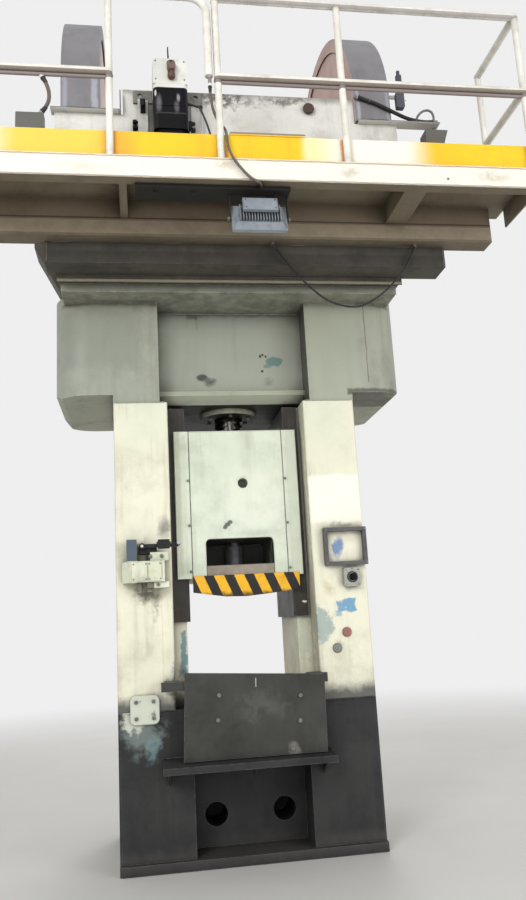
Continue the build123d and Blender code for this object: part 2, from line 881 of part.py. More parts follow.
# Box under the right tray on its stem, the arched conduit on the tray and the switch beside the hood
def make_junction_box():
    top = hood_bottom - tray_thickness - junction_stem_length
    x0, x1 = junction_box_left, junction_box_left + junction_box_width
    low = top - junction_box_height
    y0 = -hood_radius - 10
    outline = [(x0, low), (x1, low), (x1 + junction_box_slant, top), (x0, top)]
    body = prism_y(outline, y0, y0 + junction_box_depth)
    return body + rod_z(x1 - 40, y0 + junction_box_depth / 2, top - 1, top + junction_stem_length, junction_stem_radius)


def make_hood_switch():
    x0, z0 = hood_switch_left, hood_switch_bottom
    y0 = -hood_radius + 3
    body = box(x0, x0 + hood_switch_width, y0, y0 + hood_switch_depth, z0, z0 + hood_switch_height)
    body = chamfer(body.edges().filter_by(Axis.Y), 8)
    return body + box(hood_outer, x0 + 2, y0 + 10, y0 + 20, z0 + 70, z0 + 94)


# Box on the toe board's top edge, with the gland of its hose
def make_toe_box():
    body = box(toe_box_left, toe_box_right, toe_front, toe_front + toe_box_depth, toe_top, toe_top + toe_box_height)
    body = fillet(body.edges().filter_by(Axis.Y), 8)
    middle = (toe_box_left + toe_box_right) / 2
    back = toe_front + toe_thickness
    body += box(middle - 30, middle + 30, back, back + 8, toe_top - 60, toe_top + 20)
    last, before = Vector(*box_hose_points[-1]), Vector(*box_hose_points[-2])
    way = (last - before).normalized()
    r = box_hose_diameter / 2 + gland_wall
    gland = Plane(origin=last, z_dir=way) * Pos(0, 0, 20) * Cylinder(r, 40)
    return body + gland


# Guard sheet in front of the flywheel, with a folded foot and hem, and the knob on it
def make_flywheel_guard():
    w, low = guard_sheet_width, deck_top
    top = hood_bottom - tray_thickness
    outline = [(-w, low), (w, low), (w, top), (guard_inner_right, top), (guard_inner_right, guard_inner_top),
               (guard_inner_left, guard_inner_top), (guard_inner_left, top), (-w, top)]
    y1 = guard_front + guard_sheet
    sheet = prism_y(outline, guard_front, y1)
    sheet += box(-w, w, y1, y1 + guard_hem + 16, low, low + guard_sheet)
    return sheet + box(guard_inner_left, guard_inner_right, y1, y1 + guard_hem,
                       guard_inner_top - guard_sheet, guard_inner_top)


def make_guard_knob():
    y, z = guard_front, guard_knob_z
    body = rod_y(guard_knob_x, y - guard_knob_depth, y - 10, z, guard_knob_radius)
    body = fillet(body.edges().group_by(Axis.Y)[0], 6)
    return body + rod_y(guard_knob_x, y - 11, y, z, guard_knob_radius * 0.5)


# Drip plate on the crown: a sheet with its front and rear edges folded down
def make_drip_plate():
    w, d = drip_half_width, drip_half_depth
    body = box(-w, w, -d, d, crown_top, drip_top)
    t = drip_lip_thickness
    for y in (-d, d - t):
        body += box(-w, w, y, y + t, crown_top - drip_lip, drip_top)
    for x, y in corners:
        body -= rod_z(x, y, crown_top - 1, drip_top + 1, tie_rod_radius + tie_rod_gap)
    return body - rod_z(0, 0, crown_top - 1, drip_top + 1, nut_radius + 30)


# Head frame: two long box beams joined by cross beams, which carry the platform
def make_head_frame():
    body = None
    for sy in (-1, 1):
        y0 = sy * (head_front - head_beam_width)
        beam = box(head_left, head_right, y0, sy * head_front, drip_top, head_top)
        body = beam if body is None else body + beam
    reach = head_front - head_beam_width
    for sx in (-1, 1):
        x0 = sx * cross_beam_inner
        body += box(x0, x0 + sx * cross_beam_width, -reach, reach, drip_top, head_top)
    for x, y in corners:
        body -= rod_z(x, y, drip_top - 1, head_top + 1, tie_nut_radius + 12)
    return body


# Lug under the rear channel, cut square to the cable that hangs from it
def make_cable_clip(end, inner):
    x, y, z = end
    run = sqrt((inner[0] - x) ** 2 + (inner[2] - z) ** 2)
    across, up = (z - inner[2]) / run, (inner[0] - x) / run
    half = hanging_diameter / 2 + 5
    face = [(x - half * across, z - half * up), (x + half * across, z + half * up)]
    outline = face + [(face[1][0], head_top), (face[0][0], head_top)]
    return prism_y(outline, y - half, y + half)


# Platform: two channels, cross members and the deck, welded into one
def make_platform():
    x0, x1, y0 = platform_left, platform_right, -platform_front
    top, t = deck_level, steel_web
    body = box(x0, x1, y0, y0 + t, fascia_bottom, top)
    body += box(x0, x1, y0, y0 + fascia_flange, fascia_bottom, fascia_bottom + t)
    ry = -rear_channel_front
    body += box(x0, rear_channel_right, ry, ry + t, head_top, top)
    body += box(x0, rear_channel_right, ry, ry + rear_channel_flange, head_top, head_top + t)
    for x, width in cross_places:
        body += box(x, x + t, y0, ry + t, fascia_bottom, top)
        body += box(x, x + width, y0, ry + t, fascia_bottom, fascia_bottom + t)
    for x in (x0, x1 - t):
        body += box(x, x + t, y0, ry + t, fascia_bottom, top)
    body += box(x0, x1, y0, y0 + platform_depth, top, top + deck_thickness)
    for end, inner in ((hanging_points[0], hanging_points[1]), (hanging_points[-1], hanging_points[-2])):
        body += make_cable_clip(end, inner)
    return body


def make_toe_board():
    y, low = toe_front, deck_top
    x0, x1 = posts_left[0] + post_radius, posts_right[-1] - post_radius
    body = box(x0, x1, y, y + toe_thickness, low, low + toe_height)
    for x in (x0, x1 - toe_thickness):
        body += box(x, x + toe_thickness, y, -platform_front + platform_depth, low, low + toe_height)
    middle = y + toe_thickness / 2
    return body + box(toe_bar_left, toe_bar_right, middle - toe_bar_depth / 2, middle + toe_bar_depth / 2,
                      low + toe_height, low + toe_height + toe_bar_height)


# Railings: bent pipe, each section one welding
def make_railing(posts, end_x, free_x, bend):
    y, low, knee = rail_y, deck_top, knee_z
    top = low + railing_height - pipe_radius
    back = -platform_front + platform_depth - pipe_radius
    left, right = min(end_x, free_x), max(end_x, free_x)
    if bend:
        start, turn = (right, y, knee), (right, y, top - bend_radius)
        level = (right - bend_radius, y, top)
        path = Line(start, turn) + Line(level, (left, y, top))
        path += ThreePointArc(turn, (right - bend_radius * (1 - sqrt(0.5)), y,
                                     top - bend_radius * (1 - sqrt(0.5))), level)
        body = sweep(Plane(start, z_dir=(0, 0, 1)) * Circle(pipe_radius), path=path)
    else:
        body = rod_x(left, right, y, top, pipe_radius)
    knee_end = posts[-1] if bend else right
    body += rod_x(left, knee_end, y, knee, pipe_radius)
    for x in posts:
        body += rod_z(x, y, low, top, post_radius)
    body += rod_z(end_x, back, low, top, post_radius)
    for z in (top, knee):
        body += rod_y(end_x, y, back, z, pipe_radius - post_step)
        for place in (y, back):
            body += Pos(end_x, place, z) * Sphere(pipe_radius + post_step)
    conduit_end = posts[-1] if bend else left
    return body + rod_x(min(end_x, conduit_end), max(end_x, conduit_end), y, conduit_z, conduit_radius)


# Glands where the lamp's lead leaves the bent pipe's lower end and the box's hose leaves the left conduit
def make_conduit_glands():
    x, y, z = lead_points[0]
    glands = rod_z(x, y, z, knee_z + 5, lead_diameter / 2 + gland_wall)
    first, second = Vector(*box_hose_points[0]), Vector(*box_hose_points[1])
    way = (second - first).normalized()
    r = box_hose_diameter / 2 + gland_wall
    return glands, Plane(origin=first - way * 26, z_dir=way) * Pos(0, 0, 13) * Cylinder(r, 26)


# Lamp: rail and yoke under the platform, and the finned head that tilts in it
lamp_pivot_y = -platform_front + fascia_flange - 20 + lamp_rail_width / 2
lamp_pivot_z = fascia_bottom - lamp_rail_thickness - lamp_drop


def make_lamp_rail():
    y0 = -platform_front + fascia_flange - 20
    rail = box(lamp_rail_left, lamp_rail_right, y0, y0 + lamp_rail_width,
               fascia_bottom - lamp_rail_thickness, fascia_bottom)
    half = lamp_width / 2 + yoke_gap
    top = fascia_bottom - lamp_rail_thickness
    y, w = lamp_pivot_y, yoke_width / 2
    rail += box(lamp_x - half - yoke_sheet, lamp_x + half + yoke_sheet, y - w, y + w, top - yoke_sheet, top)
    for sx in (-1, 1):
        x = lamp_x + sx * half
        rail += box(x, x + sx * yoke_sheet, y - w, y + w, lamp_pivot_z - w, top)
        rail -= rod_x(x - 8, x + 8, y, lamp_pivot_z, lamp_pin_radius + run_gap)
    return rail


def make_lamp_head():
    w, h, t = lamp_width / 2, lamp_height / 2, lamp_rim
    frame = box(-w, w, -h, h, -t, 0)
    frame = fillet(frame.edges().filter_by(Axis.Z), 10)
    frame -= box(-w + 16, w - 16, -h + 16, h - 16, -t - 1, -t + 8)
    s, d = lamp_slope, lamp_shell_depth
    wide = Rectangle(2 * w - 12, 2 * h - 12)
    narrow = Pos(0, 0, d) * Rectangle(2 * (w - s), 2 * (h - s))
    frame += loft([wide.face(), narrow.face()])
    pitch = 2 * (w - s - 12) / (lamp_fin_count - 1)
    for k in range(lamp_fin_count):
        x = -w + s + 12 + pitch * k
        frame += box(x - lamp_fin_width / 2, x + lamp_fin_width / 2, -h + s + 2, h - s - 2, d - 1, d + lamp_fin_depth)
    dw, dy, top = lamp_driver_width / 2, h - 10 - lamp_driver_height, d + lamp_fin_depth + 4
    driver = box(-dw, dw, dy, h - 10, top, top + lamp_driver_depth)
    frame += chamfer(driver.edges().group_by(Axis.Z)[-1], 8)
    for x in (-dw + 20, dw - 20):
        frame += box(x - 8, x + 8, 5, 40, d - 1, top + 1)
    frame += rod_x(-w - yoke_gap - yoke_sheet - 8, w + yoke_gap + yoke_sheet + 8, 0, -t / 2, lamp_pin_radius)
    return Pos(lamp_x, lamp_pivot_y, lamp_pivot_z) * Rot(lamp_lean, 0, 0) * Pos(0, 0, t / 2) * frame


# Service unit on the deck: tall body, white head and the bracket with its lug
def make_unit_body():
    low = deck_level + deck_thickness
    w, d = unit_width / 2, unit_depth
    y0 = -unit_front
    lower = box(unit_x - w + unit_taper, unit_x + w - unit_taper, y0 + 12, y0 + d, low, low + unit_foot_height)
    upper = box(unit_x - w, unit_x + w, y0, y0 + d, low + unit_foot_height, low + unit_neck)
    upper = fillet(upper.edges().filter_by(Axis.Z), 30)
    x, y, z = unit_tube_points[-1]
    side = unit_x + w - unit_taper
    fitting = box(side - 5, x + 14, y - 14, y + 14, z, z + 50)
    return chamfer(lower.edges().filter_by(Axis.Z), 14) + upper + fitting


def make_unit_head():
    low = deck_level + deck_thickness + unit_neck
    w, y0 = unit_width / 2, -unit_front
    body = box(unit_x - w, unit_x + w, y0, y0 + unit_depth, low, deck_level + unit_top)
    body = fillet(body.edges().filter_by(Axis.Y).sort_by(Axis.Z)[-2:], 22)
    z = deck_level + unit_top - 75
    body += rod_y(unit_x + 8, y0 - unit_spigot_length, y0 + 5, z, unit_spigot_radius)
    return body


def make_unit_bracket():
    low = deck_level + deck_thickness
    back = -unit_front + unit_depth
    w = unit_width / 2
    body = box(unit_x - w - 40, unit_x + w + 30, back, back + unit_lug_thickness, low, low + 700)
    body += box(unit_x - w - 60, unit_x + w + 50, back - 90, back + unit_lug_thickness, low, low + 12)
    body -= box(unit_x - w + unit_taper, unit_x + w - unit_taper, back - 91, back, low - 1, low + 13)
    lug_z = low + 770
    body += box(unit_x - w - unit_lug_length, unit_x + w + 105, back, back + unit_lug_thickness,
                lug_z - unit_lug_height / 2 - 20, lug_z + unit_lug_height / 2)
    body += box(unit_x - 60, unit_x + 60, back, back + unit_lug_thickness, low + 690, lug_z)
    body -= rod_y(unit_x - w - unit_lug_length + 42, back - 1, back + unit_lug_thickness + 1, lug_z, 14)
    body -= rod_y(unit_x + w + 62, back - 1, back + unit_lug_thickness + 1, lug_z, 17)
    return body


# Apron plate, the bar behind it and the ledge below it
def make_apron():
    points = [(apron_left + 20, apron_top_left), (apron_right, apron_top_right),
              (apron_right - 8, apron_bottom), (apron_left, apron_bottom)]
    plate = prism_y(points, -apron_front, -apron_front + apron_thickness)
    return chamfer(plate.edges().group_by(Axis.Y)[0], 2)


def make_apron_bar():
    back = -apron_front + apron_thickness
    body = box(bar_left, bar_right, back, back + bar_depth, bar_level, bar_level + bar_height)
    for x in (bar_left + 20, bar_right - 110):
        body += box(x, x + 90, back + bar_depth, front, bar_level, bar_level + bar_height)
    return body


def make_ledge():
    y0 = front - ledge_depth
    points = [(front, ledge_level + ledge_slope), (y0, ledge_level + 12), (y0, ledge_level - 26),
              (y0 + 12, ledge_level - 26), (y0 + 12, ledge_level - ledge_thickness + 10),
              (front, ledge_level + ledge_slope - ledge_thickness)]
    body = prism_x(points, ledge_left, ledge_right)
    for x in (ledge_left + 30, 0, ledge_right - 42):
        rib = [(front, ledge_level + 10), (y0 + 60, ledge_level - 4), (front, ledge_level - 120)]
        body += prism_x(rib, x, x + 12)
    return body


# Small things on the columns
def make_holder():
    y0 = front - holder_depth
    body = box(holder_left, holder_right, y0, front, holder_bottom, holder_top)
    b = holder_bar
    return body - box(holder_left + b, holder_right - b, y0 - 1, front + 1, holder_bottom + b, holder_top - b)


def make_switch_box():
    w, h = switch_width / 2, switch_height / 2
    body = box(switch_x - w, switch_x + w, front - switch_depth, front, switch_z - h, switch_z + h)
    body = fillet(body.edges().filter_by(Axis.Y), 12)
    hole = rod_y(switch_x, front - switch_depth - 1, front - switch_depth + 20, switch_z, knob_stem_radius + run_gap)
    return body - hole


def make_switch_knob():
    face = front - switch_depth - slide_gap
    body = rod_y(switch_x, face - knob_depth, face, switch_z, knob_radius)
    body = chamfer(body.edges().group_by(Axis.Y)[0], 3)
    body += box(switch_x - 5, switch_x + 5, face - knob_depth - 8, face - knob_depth + 1,
                switch_z - knob_radius + 3, switch_z + knob_radius - 3)
    return body + rod_y(switch_x, face, face + 18, switch_z, knob_stem_radius)


def make_column_covers():
    pieces = []
    for x, z in plug_places:
        plug = rod_y(x, front - plug_depth, front, z, plug_radius)
        pieces.append(chamfer(plug.edges().group_by(Axis.Y)[0], 4))
    w, h = cover_width / 2, cover_height / 2
    cover = box(cover_x - w, cover_x + w, front - cover_thickness, front, cover_z - h, cover_z + h)
    cover = fillet(cover.edges().filter_by(Axis.Y), 34)
    pieces.append(chamfer(cover.edges().group_by(Axis.Y)[0], 5))
    return pieces


def make_trip_box():
    y0 = front - trip_depth
    c = trip_chamfer
    plan = [(trip_left + c, y0), (trip_right, y0), (trip_right, front), (trip_left, front), (trip_left, y0 + c)]
    body = prism_z(plan, trip_bottom, trip_top)
    body += box(-591, -478, y0 + 20, y0 + 20 + trip_clamp_depth, trip_top, trip_top + 54)
    body += box(-613, -478, y0 + 16, y0 + 16 + trip_clamp_depth, trip_bottom - 36, trip_bottom)
    for x in (-657, -599):
        body += rod_z(x, y0 + 45, trip_bottom - 58, trip_bottom, 17)
    body += box(sensor_left, sensor_right, y0 + 10, y0 + 80, trip_top, sensor_top)
    pin_y = y0 + 45
    body += box(lever_pivot_x - 24, lever_pivot_x + 24, front - 20, front, trip_top, lever_z + 24)
    return body + rod_y(lever_pivot_x, pin_y - 30, front, lever_z, lever_pin_radius)


def make_trip_lever():
    y = front - trip_depth + 45 - 26
    x1 = lever_pivot_x + lever_length
    body = box(lever_pivot_x, x1, y, y + 10, lever_z - 11, lever_z + 11)
    body += rod_y(lever_pivot_x, y - 4, y + 24, lever_z, lever_pin_radius + 9)
    body += rod_y(x1, y - 14, y + 10, lever_z + 10, lever_roller_radius)
    return body - rod_y(lever_pivot_x, y - 6, y + 26, lever_z, lever_pin_radius + run_gap)


# Shift yoke on the shaft's end, and the air cylinder that moves it
def make_shift_yoke():
    x1 = -shaft_left_end + yoke_length
    body = rod_x(-shaft_left_end - 20, x1, 0, shaft_height, yoke_radius)
    body -= rod_x(-shaft_left_end - slide_gap, x1 + 1, 0, shaft_height, yoke_bore + run_gap)
    return body + rod_x(-cylinder_start - cylinder_length + 60, -shaft_left_end - 20, 0, shaft_height, piston_rod_radius)


def make_shift_cylinder():
    x0, x1 = -cylinder_start - cylinder_length, -cylinder_start
    body = rod_x(x0, x1, 0, shaft_height, cylinder_radius)
    for x in (x0, x1 - 26):
        body += box(x, x + 26, -cylinder_radius - 12, cylinder_radius + 12,
                    shaft_height - cylinder_radius - 12, shaft_height + cylinder_radius + 12)
    body -= rod_x(x0 + 40, x1 + 1, 0, shaft_height, piston_rod_radius + run_gap)
    low = shaft_height - cylinder_radius - 12
    body += box(x0, -bracket_outer, -110, 110, cylinder_shelf, cylinder_shelf + shelf_thickness)
    body += box(x0, x1, -70, 70, cylinder_shelf + shelf_thickness, low)
    gusset = [(-bracket_outer, cylinder_shelf), (x0 + 100, cylinder_shelf), (-bracket_outer, cylinder_shelf - 220)]
    return body + prism_y(gusset, -10, 10)


# Motor, its shelf behind the crown, its pulley and the belt to the shaft
motor_foot_z = motor_z - motor_radius - 25
belt_middle = (pulley_inner + pulley_outer) / 2
motor_x1 = belt_middle - belt_width / 2 - motor_gap
motor_x0 = motor_x1 - motor_length


def make_motor_shelf():
    body = box(motor_x0 - 60, pulley_outer + 40, head_front, shelf_y_end, motor_foot_z - 25, motor_foot_z)
    for x in (motor_x0 - 60, pulley_outer + 15):
        rib = [(head_front, motor_foot_z - 25), (shelf_y_end - 60, motor_foot_z - 25), (head_front, drip_top)]
        body += prism_x(rib, x, x + 25)
    body += box(motor_x0 - 60, pulley_outer + 40, head_front, head_front + 20, drip_top, motor_foot_z)
    return body


def make_motor():
    body = rod_x(motor_x0, motor_x1, motor_y, motor_z, motor_radius - motor_fin_depth)
    for k in range(motor_fin_count):
        fin = box(motor_x0 + 70, motor_x1 - 40, -3, 3, motor_radius - motor_fin_depth - 3, motor_radius)
        body += Pos(0, motor_y, motor_z) * Rot(360 / motor_fin_count * k, 0, 0) * fin
    body += rod_x(motor_x0, motor_x0 + 60, motor_y, motor_z, motor_radius)
    body += rod_x(motor_x1 - 30, motor_x1, motor_y, motor_z, motor_radius)
    body += box(motor_x0 + 90, motor_x1 - 60, motor_y - 140, motor_y + 140, motor_foot_z, motor_foot_z + 22)
    body += box(motor_x0 + 90, motor_x1 - 60, motor_y - 100, motor_y + 100, motor_foot_z + 22, motor_z - 80)
    top = motor_z + motor_radius
    body += box(motor_x0 + 150, motor_x0 + 300, motor_y - 70, motor_y + 70, motor_z + 100, top + 55)
    return body - rod_x(motor_x1 - 60, motor_x1 + 1, motor_y, motor_z, motor_shaft_radius + run_gap)


def make_motor_pulley():
    x0 = belt_middle - belt_width / 2 - 8
    x1 = belt_middle + belt_width / 2 + 8
    body = rod_x(x0, x1, motor_y, motor_z, motor_pulley_radius)
    body += rod_x(motor_x1 - 50, x1 + 12, motor_y, motor_z, motor_shaft_radius)
    return body


def make_belt():
    span = sqrt(motor_y ** 2 + (shaft_height - motor_z) ** 2)
    r_big = pulley_radius + slide_gap
    r_small = motor_pulley_radius + slide_gap
    tilt = degrees(asin((r_big - r_small) / span))

    def loop(big, small):
        lean = radians(tilt)
        up_big = (big * sin(lean), big * cos(lean))
        up_small = (span + small * sin(lean), small * cos(lean))
        low_big = (up_big[0], -up_big[1])
        low_small = (up_small[0], -up_small[1])
        outline = Line(up_big, up_small)
        outline += ThreePointArc(up_small, (span + small, 0), low_small)
        outline += Line(low_small, low_big)
        outline += ThreePointArc(low_big, (-big, 0), up_big)
        return make_face(outline)

    ring = loop(r_big + belt_thickness, r_small + belt_thickness) - loop(r_big, r_small)
    direction = Vector(0, motor_y, motor_z - shaft_height).normalized()
    start = belt_middle - belt_width / 2
    plane = Plane(origin=(start, 0, shaft_height), x_dir=direction, z_dir=(1, 0, 0))
    return extrude(plane * ring, amount=belt_width)


# Brake: a post on the rear head beam and the lined shoe that presses on the flywheel
brake_z = flywheel_bottom + flywheel_height / 2
shoe_face = flywheel_radius + band_thickness + brake_gap


def make_brake_bracket():
    y1 = head_front
    w = brake_post_width / 2
    body = box(-w, w, shoe_face + brake_thickness + 20, shoe_face + brake_thickness + 20 + brake_post_depth,
               head_top, brake_z + 60)
    post_back = shoe_face + brake_thickness + 20 + brake_post_depth
    body += box(-130, 130, y1 - head_beam_width + 20, post_back + 10, head_top, head_top + 20)
    body -= rod_y(0, shoe_face, post_back + 20, brake_z, brake_pin_radius + run_gap)
    return body


def make_brake_shoe():
    w, h = brake_width / 2, brake_height / 2
    body = box(-w, w, shoe_face - 30, shoe_face + brake_thickness, brake_z - h, brake_z + h)
    body -= rod_z(0, 0, brake_z - h - 1, brake_z + h + 1, shoe_face)
    back = shoe_face + brake_thickness + 20 + brake_post_depth + 40
    return body + rod_y(0, shoe_face + brake_thickness - 5, back, brake_z, brake_pin_radius)


# Fasteners of the frame, and those of the slide
def ring_of_bolts(radius, count, z0, z1, r):
    bolts = []
    for k in range(count):
        turn = radians(360 / count * (k + 0.5))
        bolts.append(hex_z(radius * cos(turn), radius * sin(turn), z0, z1, r))
    return bolts


def make_frame_bolts():
    bolts = make_tie_nuts()
    flange = crown_bottom + crown_panel_lift - nut_flange_thickness
    bolts += ring_of_bolts((screw_radius + nut_flange_radius) / 2, 6, flange - 14, flange, 14)
    middle = (bracket_inner + bracket_outer) / 2
    for sx in (-1, 1):
        for sy in (-1, 1):
            y = sy * cap_bolt_offset
            stud = rod_z(sx * middle, y, shaft_height - 90, shaft_height + 90, cap_bolt_radius - 0.2)
            bolts.append(stud + hex_z(sx * middle, y, shaft_height + 55, shaft_height + 80, nut_size))
            foot_x = sx * (foot_outer - 50)
            bolts.append(hex_z(foot_x, sy * (foot_depth - 40), drip_top + foot_plate,
                               drip_top + foot_plate + 26, 32))
    for x, z in ((-203, 368), (-215, 226), (290, 336), (280, 191), (226, 34)):
        bolts.append(hex_y(x, -apron_front - 10, -apron_front, apron_bottom + z, apron_bolt_radius))
    for dx in (-52, 52):
        for dz in (-48, 48):
            y1 = front - cover_thickness
            bolts.append(hex_y(cover_x + dx, y1 - 9, y1, cover_z + dz, 12))
    return bolts


def make_slide_bolts():
    bolts = ring_of_bolts((screw_radius + retainer_radius) / 2, 8, slide_top + retainer_thickness,
                          slide_top + retainer_thickness + 16, 17)
    for sx in (-1, 1):
        for rise in slide_bolt_rises:
            x = sx * (slide_half_width + 12)
            bolts.append(hex_y(x, -slide_front - 8, -slide_front, slide_bottom + rise, 9))
    y = -slide_front + 40
    body = rod_z(nipple_x, y, slide_top, slide_top + nipple_height, nipple_radius)
    body += Pos(nipple_x, y, slide_top + nipple_height) * Sphere(nipple_radius + 5)
    bolts.append(body + hex_z(nipple_x, y, slide_top, slide_top + 16, 20))
    return bolts


column = make_column()
rail = make_rail()
shoes = make_shoes()
disc = make_disc()
bracket = make_bracket()
cap = make_cap()
bush = make_bush()

save("bed", make_bed())
save("table_plate", make_table())
save("columns", column, flip(column))
save("crown", make_crown())
save("tie_rods", *make_tie_rods())
save("screw_nut", make_screw_nut())
save("guide_rails", rail, flip(rail))
save("slide", make_slide())
save("guide_shoes", *shoes, *[flip(s) for s in shoes])
save("shank_clamp", make_clamp())
save("striped_guard", make_guard())
save("thrust_pad", make_thrust_pad())
save("screw_retainer", make_retainer())
save("knockout_rod", make_knockout())
save("slide_bolts", *make_slide_bolts())
save("screw", make_screw())
save("flywheel", make_flywheel())
save("friction_band", make_band())
save("disc_shaft", make_shaft())
save("friction_discs", disc, flip(disc))
save("shaft_pulley", make_pulley())
save("bearing_housings", bracket, flip(bracket), cap, flip(cap))
save("bearing_bushes", bush, flip(bush))
left_hood = flip(make_hood((-tray_left[1], -tray_left[0])))
left_hood += make_tray_lip(tray_left[1] - tray_thickness)
save("disc_hoods", make_hood(tray_right) + make_hose_stubs(), left_hood)
save("junction_boxes", make_junction_box(), make_hood_switch(), make_toe_box(), cord(arch_points, arch_radius))
save("flywheel_guard", make_flywheel_guard(), make_guard_knob())
save("drip_plate", make_drip_plate())
save("head_frame", make_head_frame())
save("platform_frame", make_platform())
save("toe_board", make_toe_board())
lead_gland, hose_gland = make_conduit_glands()
save("railings", make_railing(posts_left, posts_left[0], bend_x, True) + lead_gland + hose_gland,
     make_railing(posts_right, posts_right[-1], posts_right[0], False))
save("lamp_rail", make_lamp_rail())
save("lamp_head", make_lamp_head())
save("service_unit_body", make_unit_body())
save("service_unit_head", make_unit_head())
save("service_unit_bracket", make_unit_bracket())
save("apron_plate", make_apron())
save("apron_bar", make_apron_bar())
save("ledge_plate", make_ledge())
save("square_holder", make_holder())
save("switch_box", make_switch_box())
save("switch_knob", make_switch_knob())
save("column_covers", *make_column_covers())
save("trip_switch_box", make_trip_box())
save("trip_lever", make_trip_lever())
save("shift_yoke", make_shift_yoke())
save("shift_cylinder", make_shift_cylinder())
save("motor_shelf", make_motor_shelf())
save("motor", make_motor())
save("motor_pulley", make_motor_pulley())
save("drive_belt", make_belt())
save("brake_bracket", make_brake_bracket())
save("brake_shoe", make_brake_shoe())
save("frame_bolts", *make_frame_bolts())
save("lamp_lead", cord(lead_points, lead_diameter / 2))
save("hanging_cable", cord(hanging_points, hanging_diameter / 2))
save("hood_hose", cord(hood_hose_points, hood_hose_diameter / 2))
save("box_hose", cord(box_hose_points, box_hose_diameter / 2))
save("unit_cable", cord(unit_cable_points, unit_cable_diameter / 2))
save("unit_tube", cord(unit_tube_points, unit_tube_diameter / 2))
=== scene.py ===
import bmesh
import bpy
from math import asin, cos, pi, radians, sin
from mathutils import Matrix, Vector


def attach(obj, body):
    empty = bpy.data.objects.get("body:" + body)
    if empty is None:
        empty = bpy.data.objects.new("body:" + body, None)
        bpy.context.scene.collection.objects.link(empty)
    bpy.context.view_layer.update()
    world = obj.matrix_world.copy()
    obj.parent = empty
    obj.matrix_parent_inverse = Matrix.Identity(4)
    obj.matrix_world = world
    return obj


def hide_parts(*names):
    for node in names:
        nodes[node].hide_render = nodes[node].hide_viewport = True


# Friction screw press: finishes, fittings, cords and the studio round them
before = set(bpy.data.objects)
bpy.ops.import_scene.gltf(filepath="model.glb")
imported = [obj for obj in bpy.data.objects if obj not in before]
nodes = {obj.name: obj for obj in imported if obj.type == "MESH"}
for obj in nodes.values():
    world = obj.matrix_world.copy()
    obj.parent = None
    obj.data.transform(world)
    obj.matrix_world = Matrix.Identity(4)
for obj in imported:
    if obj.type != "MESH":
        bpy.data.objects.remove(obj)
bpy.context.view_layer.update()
print("frame loaded:", len(nodes), "parts")


# A few short tools for shader maths
class Wire:
    def __init__(self, paint, socket):
        self.paint, self.socket = paint, socket

    def sum(self, operation, other, turned=False):
        first, second = (other, self) if turned else (self, other)
        return self.paint.node("ShaderNodeMath", {"operation": operation}, {0: first, 1: second})

    def __add__(self, other):
        return self.sum("ADD", other)

    def __sub__(self, other):
        return self.sum("SUBTRACT", other)

    def __rsub__(self, other):
        return self.sum("SUBTRACT", other, True)

    def __mul__(self, other):
        return self.sum("MULTIPLY", other)

    def __truediv__(self, other):
        return self.sum("DIVIDE", other)

    def least(self, other):
        return self.sum("MINIMUM", other)

    def wrap(self):
        return self.paint.node("ShaderNodeMath", {"operation": "FRACT"}, {0: self})

    def between(self, low, high):  # 0 at low, 1 at high, smooth in between
        settings = {"interpolation_type": "SMOOTHSTEP"}
        return self.paint.node("ShaderNodeMapRange", settings, {0: self, 1: low, 2: high, 3: 0.0, 4: 1.0})

    def spread(self, low, high):  # a 0 to 1 value as low to high
        return self.paint.node("ShaderNodeMapRange", {}, {0: self, 1: 0.0, 2: 1.0, 3: low, 4: high})


def tint(code):  # a colour as seen on a screen, in the renderer's own numbers
    parts = [int(code[k:k + 2], 16) / 255 for k in (1, 3, 5)]
    return [c / 12.92 if c <= 0.04045 else ((c + 0.055) / 1.055) ** 2.4 for c in parts] + [1.0]


